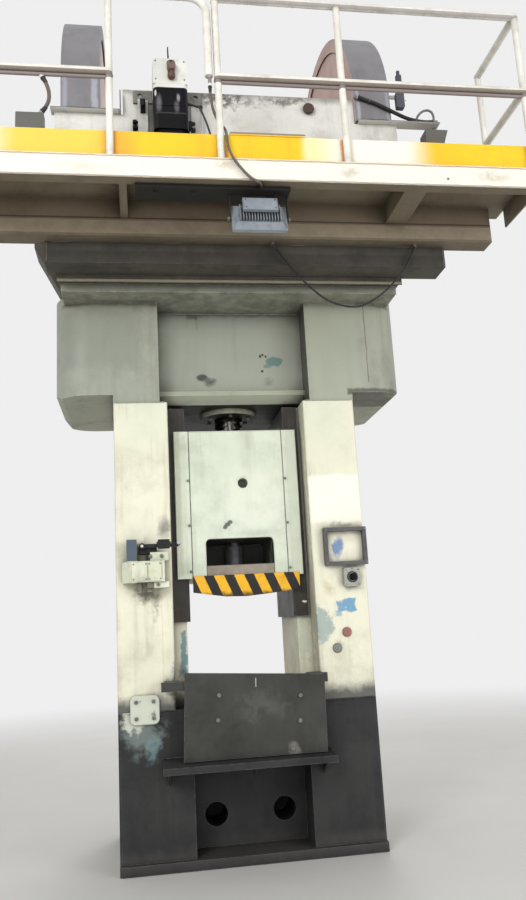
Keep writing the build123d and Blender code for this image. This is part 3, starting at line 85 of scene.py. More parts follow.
class Paint:
    def __init__(self, name):
        self.material = bpy.data.materials.new(name)
        self.material.use_nodes = True
        self.tree = self.material.node_tree
        self.shader = next(n for n in self.tree.nodes if n.type == "BSDF_PRINCIPLED")
        self.place = self.node("ShaderNodeTexCoord", out="Object")
        self.made = {}

    def node(self, kind, settings=None, inputs=None, out=0):
        new = self.tree.nodes.new(kind)
        for key, value in (settings or {}).items():
            setattr(new, key, value)
        for key, value in (inputs or {}).items():
            if isinstance(value, Wire):
                self.tree.links.new(value.socket, new.inputs[key])
            else:
                new.inputs[key].default_value = value
        return Wire(self, new.outputs[out])

    def feed(self, key, value):
        if isinstance(value, Wire):
            self.tree.links.new(value.socket, self.shader.inputs[key])
        else:
            self.shader.inputs[key].default_value = value

    def mix(self, amount, first, second):
        first = tint(first) if isinstance(first, str) else first
        second = tint(second) if isinstance(second, str) else second
        return self.node("ShaderNodeMix", {"data_type": "RGBA"}, {0: amount, 6: first, 7: second}, 2)

    def axis(self, letter):
        if "axes" not in self.made:
            self.made["axes"] = self.node("ShaderNodeSeparateXYZ", inputs={0: self.place}).socket.node
        return Wire(self, self.made["axes"].outputs[letter])

    def noise(self, scale, detail=3.0, rough=0.55, stretch=(1, 1, 1), shift=(0, 0, 0), out=0):
        where = self.place
        if stretch != (1, 1, 1) or shift != (0, 0, 0):
            where = self.node("ShaderNodeMapping",
                              inputs={"Vector": where, "Location": shift, "Scale": stretch})
        return self.node("ShaderNodeTexNoise", inputs={"Vector": where, "Scale": scale, "Detail": detail,
                                                       "Roughness": rough}, out=out)

    def vector(self, operation, *inputs, out=0):
        return self.node("ShaderNodeVectorMath", {"operation": operation}, dict(enumerate(inputs)), out)

    def drifted(self, amount):  # the place, pushed about so that a stain's edge is ragged
        key = ("drift", amount)
        if key not in self.made:
            cloud = self.noise(11.0, 5.0, 0.65, shift=(3.1, 0.7, 5.2), out=1)
            push = self.vector("SUBTRACT", cloud, (0.5, 0.5, 0.5))
            self.made[key] = self.vector("MULTIPLY_ADD", push, (amount,) * 3, self.place)
        return self.made[key]

    def stain(self, kind, centre, half, soft, ragged):
        away = self.vector("SUBTRACT", self.drifted(ragged), centre)
        if kind == "round":
            share = self.vector("LENGTH", self.vector("DIVIDE", away, half), out="Value")
            return share.between(1.0, 1.0 - soft)
        room = self.vector("SUBTRACT", half, self.vector("ABSOLUTE", away))
        axes = self.node("ShaderNodeSeparateXYZ", inputs={0: room}).socket.node.outputs
        return Wire(self, axes[0]).least(Wire(self, axes[1])).least(Wire(self, axes[2])).between(0.0, soft)

    # Edge mask: worn paint along edges, and a painted highlight along them where the edge colour is lighter
    # than the paint
    def worn(self, radius):  # 1 along outer edges and inner corners
        soft = self.node("ShaderNodeBevel", {"samples": 4}, {"Radius": radius})
        flat = self.node("ShaderNodeNewGeometry", out="Normal")
        return (1.0 - self.vector("DOT_PRODUCT", soft, flat, out="Value")).between(0.01, 0.16)

    # Occlusion mask: the colour laid on it is grime and painted shade in corners, under heads and behind lips
    def creviceGrimeAndShade(self, reach):  # 1 deep in corners, under heads and behind lips
        open = self.node("ShaderNodeAmbientOcclusion", {"samples": 4}, {"Distance": reach}, "AO")
        return (1.0 - open).between(0.12, 0.75)


def makePaint(name, values):
    paint = Paint(name)
    get = values.get
    color = tint(get("color"))
    if get("second"):
        second, scale, amount = values["second"]
        color = paint.mix(paint.noise(scale, 5.0, 0.62).between(0.36, 0.66) * amount, color, second)
    height = paint.noise(get("grain", 90.0), 4.0, 0.6)
    dirt = None
    if get("chips"):
        chip, scale, amount = values["chips"]
        flake = paint.noise(scale, 6.0, 0.7, shift=(7, 3, 1))
        flake = flake.between(0.74 - 0.2 * amount, 0.76 - 0.2 * amount)
        color = paint.mix(flake, color, chip)
        height = height - flake * 1.4
    # streaks: runs of dirt, and on the knock-out sleeve light streaks as painted highlights
    if get("streaks"):
        streak, scale, amount = values["streaks"]
        drip = paint.noise(scale, 4.0, 0.6, stretch=(1, 1, 0.045)).between(0.46, 0.78)
        drip = drip * paint.noise(scale * 0.35, 2.0, shift=(2, 9, 4)).between(0.35, 0.62)
        color = paint.mix(drip * amount, color, streak)
    if get("grime"):
        grime, scale, amount = values["grime"]
        dirt = paint.noise(scale, 6.0, 0.68, shift=(1, 5, 8)).between(0.42, 0.8) * amount
        color = paint.mix(dirt, color, grime)
    if get("level"):  # dirt or another paint that ends along a ragged level
        other, low, high, amount = values["level"]
        lift = (paint.noise(6.0, 5.0, 0.7, shift=(4, 4, 2)) - 0.5) * abs(high - low) * 1.6
        color = paint.mix((paint.axis("Z") + lift).between(high, low) * amount, color, other)
    for kind, centre, half, soft, ragged, shade, amount in get("stains", ()):
        color = paint.mix(paint.stain(kind, centre, half, soft, ragged) * amount, color, shade)
    # corners: grime and painted shade where the surface is occluded
    if get("corners"):
        dark, reach, amount = values["corners"]
        color = paint.mix(paint.creviceGrimeAndShade(reach) * amount, color, dark)
    # edges: worn edges, and painted edge highlights where the colour is lighter than the paint
    if get("edges"):
        edgeWearAndHighlight, radius, amount = values["edges"]
        worn = paint.worn(radius) * paint.noise(38.0, 4.0, 0.7).between(0.35, 0.6)
        color = paint.mix(worn * amount, color, edgeWearAndHighlight)
    low, high = get("rough", (0.45, 0.7))
    gloss = paint.noise(7.0, 4.0, 0.6, shift=(6, 2, 2)).spread(low, high)
    paint.feed("Base Color", color)
    paint.feed("Roughness", gloss if dirt is None else (gloss + dirt * 0.2).least(1.0))
    paint.feed("Metallic", get("metal", 0.0))
    paint.feed("Coat Weight", get("coat", 0.0))
    paint.feed("Coat Roughness", 0.12)
    paint.feed("Specular IOR Level", get("shine", 0.5))
    paint.feed("Alpha", 1.0)
    strength, distance = get("bump", (0.35, 0.0008))
    wave = height + paint.noise(8.0, 2.0) * 1.5
    paint.feed("Normal", paint.node("ShaderNodeBump", inputs={"Strength": strength, "Distance": distance,
                                                             "Height": wave}))
    return paint


paints = {}


def wear(name, values, *parts):
    paints[name] = makePaint(name, values)
    for part in parts:
        for slot in nodes[part].material_slots:
            slot.material = paints[name].material
        if not nodes[part].material_slots:
            nodes[part].data.materials.append(paints[name].material)


print("tools ready")

# Finishes of the frame and the platform
creamPaint = {
    "color": "#f1eed8", "second": ("#e2e0c8", 2.2, 0.6), "grime": ("#8b8570", 3.0, 0.5),
    "streaks": ("#857a63", 14.0, 0.5), "chips": ("#8f8a78", 16.0, 0.18), "corners": ("#3c3831", 0.09, 0.75),
    "edges": ("#6e6a5c", 0.006, 0.6), "rough": (0.42, 0.68), "bump": (0.3, 0.001),
    "level": ("#3c3e42", 0.93, 1.02, 0.9),
    "stains": (
        ("box", (0.0, -0.5, 2.75), (0.9, 0.6, 0.35), 0.3, 0.10, "#e3e8d0", 0.7),
        ("box", (0.63, -0.5, 2.62), (0.2, 0.03, 0.25), 0.12, 0.10, "#c9c9b4", 0.5),
        ("box", (0.63, -0.5, 2.17), (0.2, 0.03, 0.17), 0.03, 0.05, "#fdfcee", 0.85),
        ("box", (0.655, -0.5, 1.475), (0.066, 0.02, 0.050), 0.012, 0.09, "#6d9fc0", 0.95),
        ("box", (0.600, -0.5, 1.425), (0.030, 0.02, 0.020), 0.006, 0.07, "#8fb3c4", 0.8),
        ("round", (0.500, -0.5, 1.36), (0.060, 0.05, 0.13), 0.3, 0.20, "#8fa3a2", 0.75),
        ("round", (0.625, -0.5, 1.85), (0.050, 0.05, 0.07), 0.5, 0.15, "#5580b4", 0.85),
        ("round", (0.545, -0.5, 1.60), (0.06, 0.05, 0.09), 0.9, 0.20, "#b08a4e", 0.4),
        ("round", (0.67, -0.5, 1.98), (0.20, 0.05, 0.04), 0.9, 0.15, "#5d5a4c", 0.6),
        ("round", (0.70, -0.5, 1.64), (0.09, 0.05, 0.09), 0.5, 0.10, "#77715f", 0.55),
        ("round", (0.645, -0.5, 1.306), (0.05, 0.05, 0.05), 0.8, 0.10, "#a08a72", 0.6),
        ("round", (0.575, -0.5, 1.210), (0.05, 0.05, 0.05), 0.8, 0.10, "#8c8a80", 0.6),
        ("box", (-0.525, -0.5, 1.33), (0.007, 0.03, 0.26), 0.02, 0.03, "#a8703a", 0.75),
        ("round", (-0.62, -0.5, 1.60), (0.14, 0.05, 0.07), 0.8, 0.18, "#4f483c", 0.85),
        ("round", (-0.56, -0.5, 1.52), (0.05, 0.05, 0.08), 0.8, 0.20, "#6f6654", 0.6),
        ("round", (-0.50, -0.5, 2.02), (0.07, 0.05, 0.10), 0.9, 0.10, "#4b4b48", 0.7),
        ("box", (-0.385, -0.3, 1.22), (0.025, 0.03, 0.15), 0.012, 0.10, "#6f9aa8", 0.85),
        ("round", (-0.42, -0.45, 1.05), (0.09, 0.2, 0.20), 0.5, 0.22, "#2e2f33", 0.85),
        # Inner step walls beside the slide: painted shade in the recess, with some grime
        ("box", (0.455, -0.40, 1.9), (0.012, 0.094, 1.1), 0.02, 0.03, "#6a6152", 0.6),
        ("box", (-0.455, -0.40, 1.9), (0.012, 0.094, 1.1), 0.02, 0.03, "#6a6152", 0.6),
        ("box", (0.400, -0.3, 1.28), (0.05, 0.03, 0.16), 0.02, 0.15, "#c8d2bd", 0.6)),
}
castGreen = {
    "color": "#a8ab9a", "second": ("#959a90", 1.3, 0.7), "grime": ("#5c5d53", 4.5, 0.35),
    "streaks": ("#55564b", 11.0, 0.45), "chips": ("#6c6f66", 20.0, 0.10), "corners": ("#2e2b27", 0.12, 0.85),
    "edges": ("#c9cbb8", 0.008, 0.7), "rough": (0.38, 0.62), "bump": (0.3, 0.0012),
    "stains": (
        ("box", (0.0, -0.3, 3.24), (0.50, 0.05, 0.36), 0.05, 0.03, "#a0a497", 0.7),
        # Right side wall of the recess darkened: painted shade
        ("box", (0.505, -0.40, 3.25), (0.014, 0.098, 0.44), 0.008, 0.01, "#454540", 0.9),
        # Dark band along the top of the crown face under the drip plate: painted shade under the overhang
        ("box", (0.0, -0.45, 3.535), (1.15, 0.30, 0.025), 0.03, 0.05, "#5d5a50", 0.8),
        ("round", (0.314, -0.3, 3.186), (0.070, 0.05, 0.036), 0.25, 0.06, "#5f7f7a", 0.9),
        ("round", (0.262, -0.3, 3.158), (0.035, 0.05, 0.020), 0.4, 0.05, "#6d827d", 0.8),
        ("round", (0.213, -0.3, 3.228), (0.010, 0.02, 0.014), 0.4, 0.0, "#20211f", 1.0),
        ("round", (0.230, -0.3, 3.238), (0.010, 0.02, 0.010), 0.4, 0.0, "#20211f", 1.0),
        ("round", (0.252, -0.3, 3.226), (0.009, 0.02, 0.010), 0.4, 0.0, "#20211f", 1.0),
        ("round", (0.222, -0.3, 3.118), (0.011, 0.02, 0.011), 0.4, 0.0, "#20211f", 1.0),
        ("round", (-0.200, -0.3, 3.075), (0.050, 0.05, 0.034), 0.5, 0.09, "#3d403c", 0.95),
        ("round", (-0.145, -0.3, 3.045), (0.062, 0.05, 0.034), 0.7, 0.10, "#51544f", 0.9),
        ("round", (0.265, -0.3, 3.04), (0.05, 0.05, 0.05), 0.9, 0.10, "#7d817b", 0.7),
        ("box", (-0.230, -0.3, 3.475), (0.006, 0.03, 0.055), 0.010, 0.02, "#4c4e49", 0.8),
        ("box", (-0.255, -0.3, 3.52), (0.05, 0.03, 0.03), 0.02, 0.05, "#4c4e49", 0.6),
        # Lighter band at the bottom of the recess face: painted light from below
        ("box", (0.0, -0.28, 2.95), (0.505, 0.09, 0.055), 0.02, 0.02, "#a9ad98", 0.8),
        # Crown underside near black: painted shade
        ("box", (0.0, 0.16, 2.87), (0.52, 0.45, 0.03), 0.005, 0.02, "#0c0b0a", 1.0),
        ("box", (0.70, -0.5, 3.2), (0.195, 0.05, 0.40), 0.05, 0.04, "#aaae9c", 0.7),
        ("box", (0.929, -0.5, 3.25), (0.006, 0.06, 0.28), 0.007, 0.02, "#5f4f3d", 0.9),
        ("box", (1.155, -0.45, 3.2), (0.010, 0.2, 0.30), 0.02, 0.02, "#6d5442", 0.6),
        ("box", (-0.9, -0.5, 3.3), (0.30, 0.12, 0.25), 0.1, 0.05, "#85897c", 0.6),
        ("box", (0.98, -0.4, 2.91), (0.22, 0.3, 0.03), 0.02, 0.05, "#3c3a33", 0.75)),
}
wear("columnPaint", creamPaint, "columns")
wear("crownPaint", castGreen, "crown")
# Drip plate: the dark base colour is painted shade of its underside, the light band on the front edge a
# painted highlight
wear("dripPaint", {
    "color": "#55524a", "second": ("#6b6558", 3.0, 0.6), "grime": ("#2a2723", 5.0, 0.6),
    "streaks": ("#8b7f68", 9.0, 0.35), "edges": ("#9b917b", 0.004, 0.7), "corners": ("#1c1a17", 0.1, 0.8),
    "rough": (0.5, 0.75),
    "stains": (("box", (0.0, -0.77, 3.583), (1.2, 0.02, 0.010), 0.004, 0.004, "#b3aa92", 0.7),)},
     "drip_plate")
wear("bedPaint", {
    "color": "#29292b", "second": ("#353534", 2.6, 0.7), "grime": ("#161617", 4.0, 0.6),
    "streaks": ("#4a4944", 16.0, 0.30), "chips": ("#5c5b57", 26.0, 0.14),
    "shine": 0.35, "corners": ("#0d0d0e", 0.16, 0.85),
    "edges": ("#8a8984", 0.006, 0.55), "rough": (0.45, 0.72), "bump": (0.45, 0.0014),
    "stains": (
        ("round", (-0.66, -0.5, 0.80), (0.17, 0.12, 0.19), 0.55, 0.30, "#7d8a86", 0.75),
        ("round", (-0.72, -0.5, 0.87), (0.10, 0.10, 0.09), 0.4, 0.26, "#d9dccb", 0.8),
        ("round", (-0.60, -0.5, 0.70), (0.06, 0.10, 0.12), 0.7, 0.26, "#7d9fa3", 0.4),
        ("box", (0.0, -0.27, 0.31), (0.36, 0.03, 0.26), 0.05, 0.04, "#28292d", 0.7),
        ("box", (0.0, -0.4, 0.05), (0.9, 0.5, 0.10), 0.10, 0.10, "#55534f", 0.45))}, "bed", "ledge_plate")
wear("apronPaint", {
    "color": "#393935", "second": ("#454541", 3.4, 0.6), "grime": ("#1f1f1e", 5.0, 0.5),
    "streaks": ("#56554f", 18.0, 0.28), "chips": ("#75746e", 24.0, 0.14),
    "shine": 0.35, "corners": ("#141414", 0.10, 0.8),
    "edges": ("#9a9993", 0.004, 0.75), "rough": (0.42, 0.66), "bump": (0.4, 0.0012),
    "stains": (
        ("box", (0.022, -0.645, 1.043), (0.005, 0.02, 0.028), 0.004, 0.01, "#b9b8b0", 0.9),
        ("round", (0.240, -0.645, 0.645), (0.045, 0.03, 0.05), 0.7, 0.08, "#8f8e86", 0.7),
        ("round", (0.05, -0.645, 0.90), (0.26, 0.05, 0.12), 0.9, 0.25, "#5b5b59", 0.6))},
     "apron_plate", "apron_bar")
wear("slidePaint", {
    "color": "#e6ecdb", "second": ("#d2dbc8", 2.0, 0.7), "grime": ("#8d937f", 4.2, 0.4),
    "streaks": ("#8b8a73", 15.0, 0.35), "chips": ("#9aa08c", 22.0, 0.14), "corners": ("#37362f", 0.06, 0.85),
    "edges": ("#f4f6e4", 0.004, 0.4), "rough": (0.36, 0.6), "bump": (0.25, 0.0009),
    "stains": (
        ("box", (0.0, -0.36, 2.1), (0.31, 0.05, 0.45), 0.25, 0.05, "#e6f5e2", 0.6),
        ("box", (0.0, -0.36, 1.75), (0.42, 0.05, 0.07), 0.05, 0.06, "#c9d4c0", 0.7),
        # Dark slanted ellipse for a dent: painted shade in its hollow
        ("round", (-0.094, -0.36, 2.022), (0.018, 0.03, 0.022), 0.5, 0.04, "#5a5e54", 0.95),
        ("round", (-0.079, -0.36, 2.040), (0.024, 0.03, 0.022), 0.5, 0.04, "#565a50", 0.95),
        ("round", (-0.062, -0.36, 2.056), (0.022, 0.03, 0.018), 0.5, 0.04, "#5a5e54", 0.95),
        ("round", (0.10, -0.36, 2.27), (0.30, 0.03, 0.28), 0.9, 0.05, "#f2f4e2", 0.5),
        # Inside of the slide's window near black: greasy dirt and painted shade
        ("box", (0.0, -0.08, 1.85), (0.24, 0.268, 0.16), 0.02, 0.02, "#161713", 0.95),
        ("round", (0.033, -0.36, 2.33), (0.055, 0.05, 0.05), 0.9, 0.04, "#9ca090", 0.6),
        ("box", (0.372, -0.36, 2.2), (0.044, 0.05, 0.5), 0.03, 0.03, "#dce2cd", 0.6),
        ("box", (0.316, -0.35, 2.2), (0.006, 0.05, 0.5), 0.005, 0.006, "#54524a", 0.8),
        ("box", (-0.316, -0.35, 2.2), (0.006, 0.05, 0.5), 0.005, 0.006, "#54524a", 0.8),
        ("box", (-0.39, -0.36, 2.2), (0.03, 0.05, 0.5), 0.03, 0.05, "#b9bda4", 0.5),
        ("round", (0.12, -0.36, 1.98), (0.20, 0.05, 0.05), 0.9, 0.10, "#aab3a1", 0.5))},
     "slide", "guide_shoes", "screw_retainer")
wear("guidePaint", {
    "color": "#403c3a", "second": ("#332f2c", 6.0, 0.7), "grime": ("#221f1c", 7.0, 0.6),
    "streaks": ("#8b8172", 20.0, 0.3), "edges": ("#c2b9a7", 0.003, 0.6), "rough": (0.35, 0.55), "metal": 0.35,
    "stains": (("round", (0.416, -0.325, 1.516), (0.020, 0.03, 0.010), 0.4, 0.02, "#e6e1d4", 0.9),
               ("box", (0.40, -0.325, 2.80), (0.06, 0.05, 0.05), 0.02, 0.02, "#3d3833", 0.7))}, "guide_rails")
# Head frame and drive brackets: the dark base colour is partly painted shade, and the dark band low on the
# front is a painted shadow
wear("headPaintAndShade", {
    "color": "#45423b", "second": ("#57524a", 3.0, 0.6), "grime": ("#23211d", 5.0, 0.6),
    "streaks": ("#75695a", 12.0, 0.35), "edges": ("#7f7768", 0.005, 0.6), "corners": ("#171613", 0.14, 0.8),
    "rough": (0.5, 0.75), "bump": (0.4, 0.0012),
    "stains": (("box", (0.0, -0.95, 3.655), (1.6, 0.02, 0.055), 0.03, 0.03, "#2b2823", 0.7),)},
     "head_frame", "bearing_housings", "motor_shelf", "brake_bracket")
# Platform frame: brown base colour for the undersides, partly dusty primer and partly painted shade; the
# front fascia is white paint
wear("platformPaintAndShade", {
    "color": "#7d7362", "second": ("#6a604f", 2.0, 0.6), "grime": ("#40382c", 4.0, 0.45),
    "streaks": ("#8a7456", 10.0, 0.35), "corners": ("#1f1914", 0.16, 0.8), "edges": ("#9c8468", 0.005, 0.6),
    "rough": (0.5, 0.78), "bump": (0.45, 0.0013),
    "stains": (
        ("box", (0.0, -1.52, 3.936), (1.9, 0.006, 0.075), 0.002, 0.0, "#f2efe2", 1.0),
        ("box", (0.9, -1.52, 3.936), (1.0, 0.007, 0.075), 0.3, 0.02, "#e3dcc8", 0.7),
        ("box", (0.0, -1.521, 3.997), (1.9, 0.006, 0.006), 0.004, 0.012, "#a2693a", 0.75),
        ("box", (0.1, -1.521, 3.874), (1.9, 0.006, 0.006), 0.004, 0.012, "#8a6f52", 0.7),
        ("round", (1.21, -1.521, 3.915), (0.010, 0.01, 0.010), 0.4, 0.0, "#3c3831", 0.9),
        ("round", (0.62, -1.521, 3.93), (0.10, 0.01, 0.05), 0.9, 0.06, "#b5a78c", 0.5),
        ("round", (-0.9, -1.521, 3.92), (0.25, 0.01, 0.05), 0.9, 0.06, "#d7cfb9", 0.5),
        ("round", (1.5, -1.521, 3.94), (0.16, 0.01, 0.06), 0.9, 0.06, "#b9a98f", 0.5),
        ("round", (-0.12, -1.521, 3.965), (0.09, 0.01, 0.05), 0.9, 0.06, "#c3ab92", 0.6),
        # Rear web: shaded upper part, dark shadow line and a lighter lit strip below, all painted shade and
        # light
        ("box", (0.0, -1.045, 3.94), (1.9, 0.012, 0.10), 0.01, 0.02, "#7c6a58", 0.7),
        ("box", (0.0, -1.045, 3.815), (1.9, 0.012, 0.048), 0.012, 0.01, "#a3957f", 0.9),
        ("box", (0.0, -1.045, 3.874), (1.9, 0.012, 0.008), 0.006, 0.004, "#3d3529", 0.85))}, "platform_frame")
wear("toePaint", {
    "color": "#fcd420", "second": ("#f8b424", 1.2, 0.5), "grime": ("#d9962f", 3.5, 0.3),
    "streaks": ("#c58a38", 10.0, 0.25), "chips": ("#efe0b0", 9.0, 0.12), "corners": ("#7d5420", 0.05, 0.5),
    "edges": ("#f7e6b0", 0.003, 0.6), "rough": (0.4, 0.62),
    "stains": (
        ("box", (-1.10, -1.478, 4.09), (0.36, 0.30, 0.40), 0.06, 0.04, "#fbd35e", 0.65),
        ("box", (-1.62, -1.478, 4.09), (0.36, 0.30, 0.40), 0.26, 0.06, "#f8f0dc", 0.95),
        ("round", (-0.72, -1.478, 4.09), (0.16, 0.3, 0.4), 0.9, 0.03, "#f6a63a", 0.7),
        ("box", (-0.24, -1.478, 4.09), (0.10, 0.03, 0.09), 0.09, 0.03, "#f9ae22", 0.7),
        ("box", (0.47, -1.478, 4.09), (0.15, 0.30, 0.40), 0.06, 0.02, "#fbf0b4", 0.95),
        ("box", (0.79, -1.478, 4.10), (0.39, 0.30, 0.40), 0.22, 0.04, "#f9f5ea", 0.97),
        ("box", (0.590, -1.478, 4.09), (0.022, 0.03, 0.09), 0.02, 0.03, "#e58a2c", 0.8),
        ("box", (-0.105, -1.478, 4.06), (0.020, 0.03, 0.06), 0.02, 0.03, "#d98a3a", 0.8),
        ("box", (0.144, -1.480, 4.194), (0.227, 0.04, 0.0092), 0.001, 0.0, "#8d8377", 1.0))}, "toe_board")
wear("railPaint", {
    "color": "#f2efe6", "second": ("#dcd8cc", 6.0, 0.6), "grime": ("#94896f", 8.0, 0.45),
    "chips": ("#6f5f4c", 28.0, 0.22), "corners": ("#574c3c", 0.04, 0.7), "rough": (0.35, 0.55),
    "bump": (0.3, 0.0006),
    # Dark lower half of the knee rail and of the top rail: painted shade
    "stains": (("box", (0.0, -1.499, 4.529), (1.9, 0.027, 0.012), 0.003, 0.004, "#6b5a4e", 0.85),
               ("box", (0.0, -1.499, 4.508), (1.9, 0.027, 0.0115), 0.001, 0.0, "#7a6c6c", 0.9),
               ("box", (0.0, -1.499, 5.068), (1.9, 0.027, 0.011), 0.004, 0.006, "#6a5a66", 0.6))}, "railings")
print("frame paints ready")

# Finishes of the drive, the hoods and the small fittings
wear("machinedSteel", {
    "color": "#9a9894", "second": ("#86837d", 9.0, 0.6), "grime": ("#3a342c", 6.0, 0.55),
    "streaks": ("#5d5142", 20.0, 0.3), "corners": ("#1e1a16", 0.05, 0.7), "edges": ("#d8d6d0", 0.002, 0.6),
    "rough": (0.28, 0.48), "metal": 0.85, "bump": (0.25, 0.0004)},
     "table_plate", "knockout_rod", "disc_shaft", "shift_yoke", "motor_pulley")
wear("clampSteel", {
    "color": "#a09789", "second": ("#857b6d", 7.0, 0.6), "grime": ("#4a4238", 5.0, 0.5),
    "corners": ("#1f1c19", 0.05, 0.8), "edges": ("#c6c2b4", 0.003, 0.6), "rough": (0.4, 0.6), "metal": 0.15},
     "shank_clamp")
wear("darkSteel", {
    "color": "#35322f", "second": ("#4a443d", 6.0, 0.6), "grime": ("#191715", 6.0, 0.6),
    "edges": ("#8d867b", 0.002, 0.6), "corners": ("#0f0e0d", 0.05, 0.7), "rough": (0.4, 0.6), "metal": 0.7},
     "tie_rods")
# Knock-out sleeve: the light vertical streaks are painted highlights
wear("sleeveSteel", {
    "color": "#6a6b6e", "second": ("#4c4d50", 12.0, 0.6), "grime": ("#232222", 9.0, 0.6),
    "streaks": ("#b9bbbf", 26.0, 0.5), "edges": ("#b5b2a6", 0.002, 0.6), "rough": (0.3, 0.5), "metal": 0.4,
    "bump": (0.2, 0.0003)})
wear("greasySteel", {
    "color": "#33322e", "second": ("#4b4a44", 10.0, 0.5), "grime": ("#14120f", 9.0, 0.75),
    "corners": ("#0b0a09", 0.03, 0.9), "edges": ("#b5b2a6", 0.002, 0.6), "rough": (0.18, 0.4), "metal": 0.85,
    "bump": (0.2, 0.0003)})
wear("bronzeFaces", {
    "color": "#9b8458", "second": ("#7c6a48", 8.0, 0.6), "grime": ("#2d2619", 7.0, 0.6),
    "edges": ("#cfb984", 0.002, 0.5), "rough": (0.3, 0.5), "metal": 0.9}, "thrust_pad", "bearing_bushes")
wear("nutPaint", {
    "color": "#b9b9a6", "second": ("#9a9a8a", 8.0, 0.6), "grime": ("#3f3b31", 6.0, 0.6),
    "corners": ("#22201b", 0.04, 0.8), "edges": ("#dcdcc8", 0.002, 0.5), "rough": (0.4, 0.6),
    "stains": (("box", (0.0, 0.0, 2.840), (0.3, 0.3, 0.004), 0.002, 0.0, "#22211f", 0.95),)}, "screw_nut")
wear("flywheelIron", {
    "color": "#4f4d49", "second": ("#625e57", 3.0, 0.6), "grime": ("#24211d", 4.0, 0.6),
    "corners": ("#141210", 0.12, 0.8), "edges": ("#a5a096", 0.004, 0.6), "rough": (0.42, 0.62), "metal": 0.45,
    "bump": (0.4, 0.0012)}, "flywheel", "shaft_pulley")
wear("frictionLining", {
    "color": "#6b5540", "second": ("#4c3b2c", 14.0, 0.7), "grime": ("#221b15", 9.0, 0.6), "grain": 180.0,
    "streaks": ("#8d765b", 24.0, 0.4), "rough": (0.65, 0.85), "bump": (0.5, 0.0008)},
     "friction_band", "brake_shoe")
wear("discPaint", {
    "color": "#cbaea5", "second": ("#b8968c", 2.6, 0.6), "grime": ("#7a6257", 4.0, 0.35),
    "streaks": ("#8d6e5e", 12.0, 0.3), "edges": ("#cfc3bb", 0.004, 0.6), "corners": ("#8a6c62", 0.05, 0.4),
    "rough": (0.4, 0.62), "bump": (0.35, 0.001)}, "friction_discs")
wear("hoodPaint", {
    "color": "#8b898c", "second": ("#7d7c81", 1.6, 0.7), "grime": ("#5d5a5a", 4.0, 0.4),
    "streaks": ("#6b6664", 12.0, 0.35), "chips": ("#a9a8a8", 26.0, 0.12), "corners": ("#3c3a3a", 0.05, 0.5),
    "edges": ("#c9cbd2", 0.004, 0.7), "rough": (0.4, 0.6), "bump": (0.25, 0.0008),
    "stains": (("box", (0.0, -1.013, 4.647), (1.6, 0.004, 0.006), 0.001, 0.0, "#514f52", 0.9),
               # Tray underside painted white: painted light over its shade
               ("box", (0.0, -0.97, 4.642), (1.6, 0.2, 0.0025), 0.001, 0.0, "#e6e4df", 0.95),
               # Light bluish bands near the hood corners: painted highlights on the chamfers
               ("box", (0.866, -0.99, 4.80), (0.020, 0.08, 0.15), 0.018, 0.03, "#c4c6d2", 0.6),
               ("box", (1.072, -0.99, 4.78), (0.018, 0.08, 0.15), 0.018, 0.03, "#b4b8c8", 0.55),
               ("box", (-0.876, -0.99, 4.80), (0.030, 0.08, 0.15), 0.020, 0.03, "#c4c6d2", 0.6),
               ("box", (-1.066, -0.99, 4.78), (0.022, 0.08, 0.15), 0.018, 0.03, "#b4b8c8", 0.55),
               ("box", (-0.72, -1.0, 4.72), (0.01, 0.1, 0.08), 0.003, 0.004, "#6e6a66", 0.7))}, "disc_hoods")
wear("guardSheet", {
    "color": "#f3f2ec", "second": ("#dedcd4", 2.4, 0.6), "grime": ("#8f8a80", 4.0, 0.5),
    "streaks": ("#8a8276", 11.0, 0.45), "edges": ("#b9b4a8", 0.003, 0.5), "corners": ("#57524a", 0.06, 0.6),
    "rough": (0.4, 0.62), "bump": (0.3, 0.0009),
    "level": ("#6f6a62", 4.84, 4.76, 0.7),
    "stains": (
        ("box", (0.524, -0.986, 4.731), (0.045, 0.0185, 0.045), 0.001, 0.0, "#4a3830", 1.0),
        ("round", (-0.05, -0.966, 4.78), (0.34, 0.03, 0.09), 0.8, 0.25, "#4c4844", 0.85),
        ("box", (-0.18, -0.966, 4.79), (0.16, 0.03, 0.012), 0.02, 0.10, "#1f1c1a", 0.9),
        ("round", (0.36, -0.966, 4.80), (0.25, 0.03, 0.07), 0.8, 0.22, "#6a645c", 0.8),
        ("box", (0.0, -0.966, 4.05), (1.2, 0.03, 0.05), 0.05, 0.10, "#9c9486", 0.6))}, "flywheel_guard")
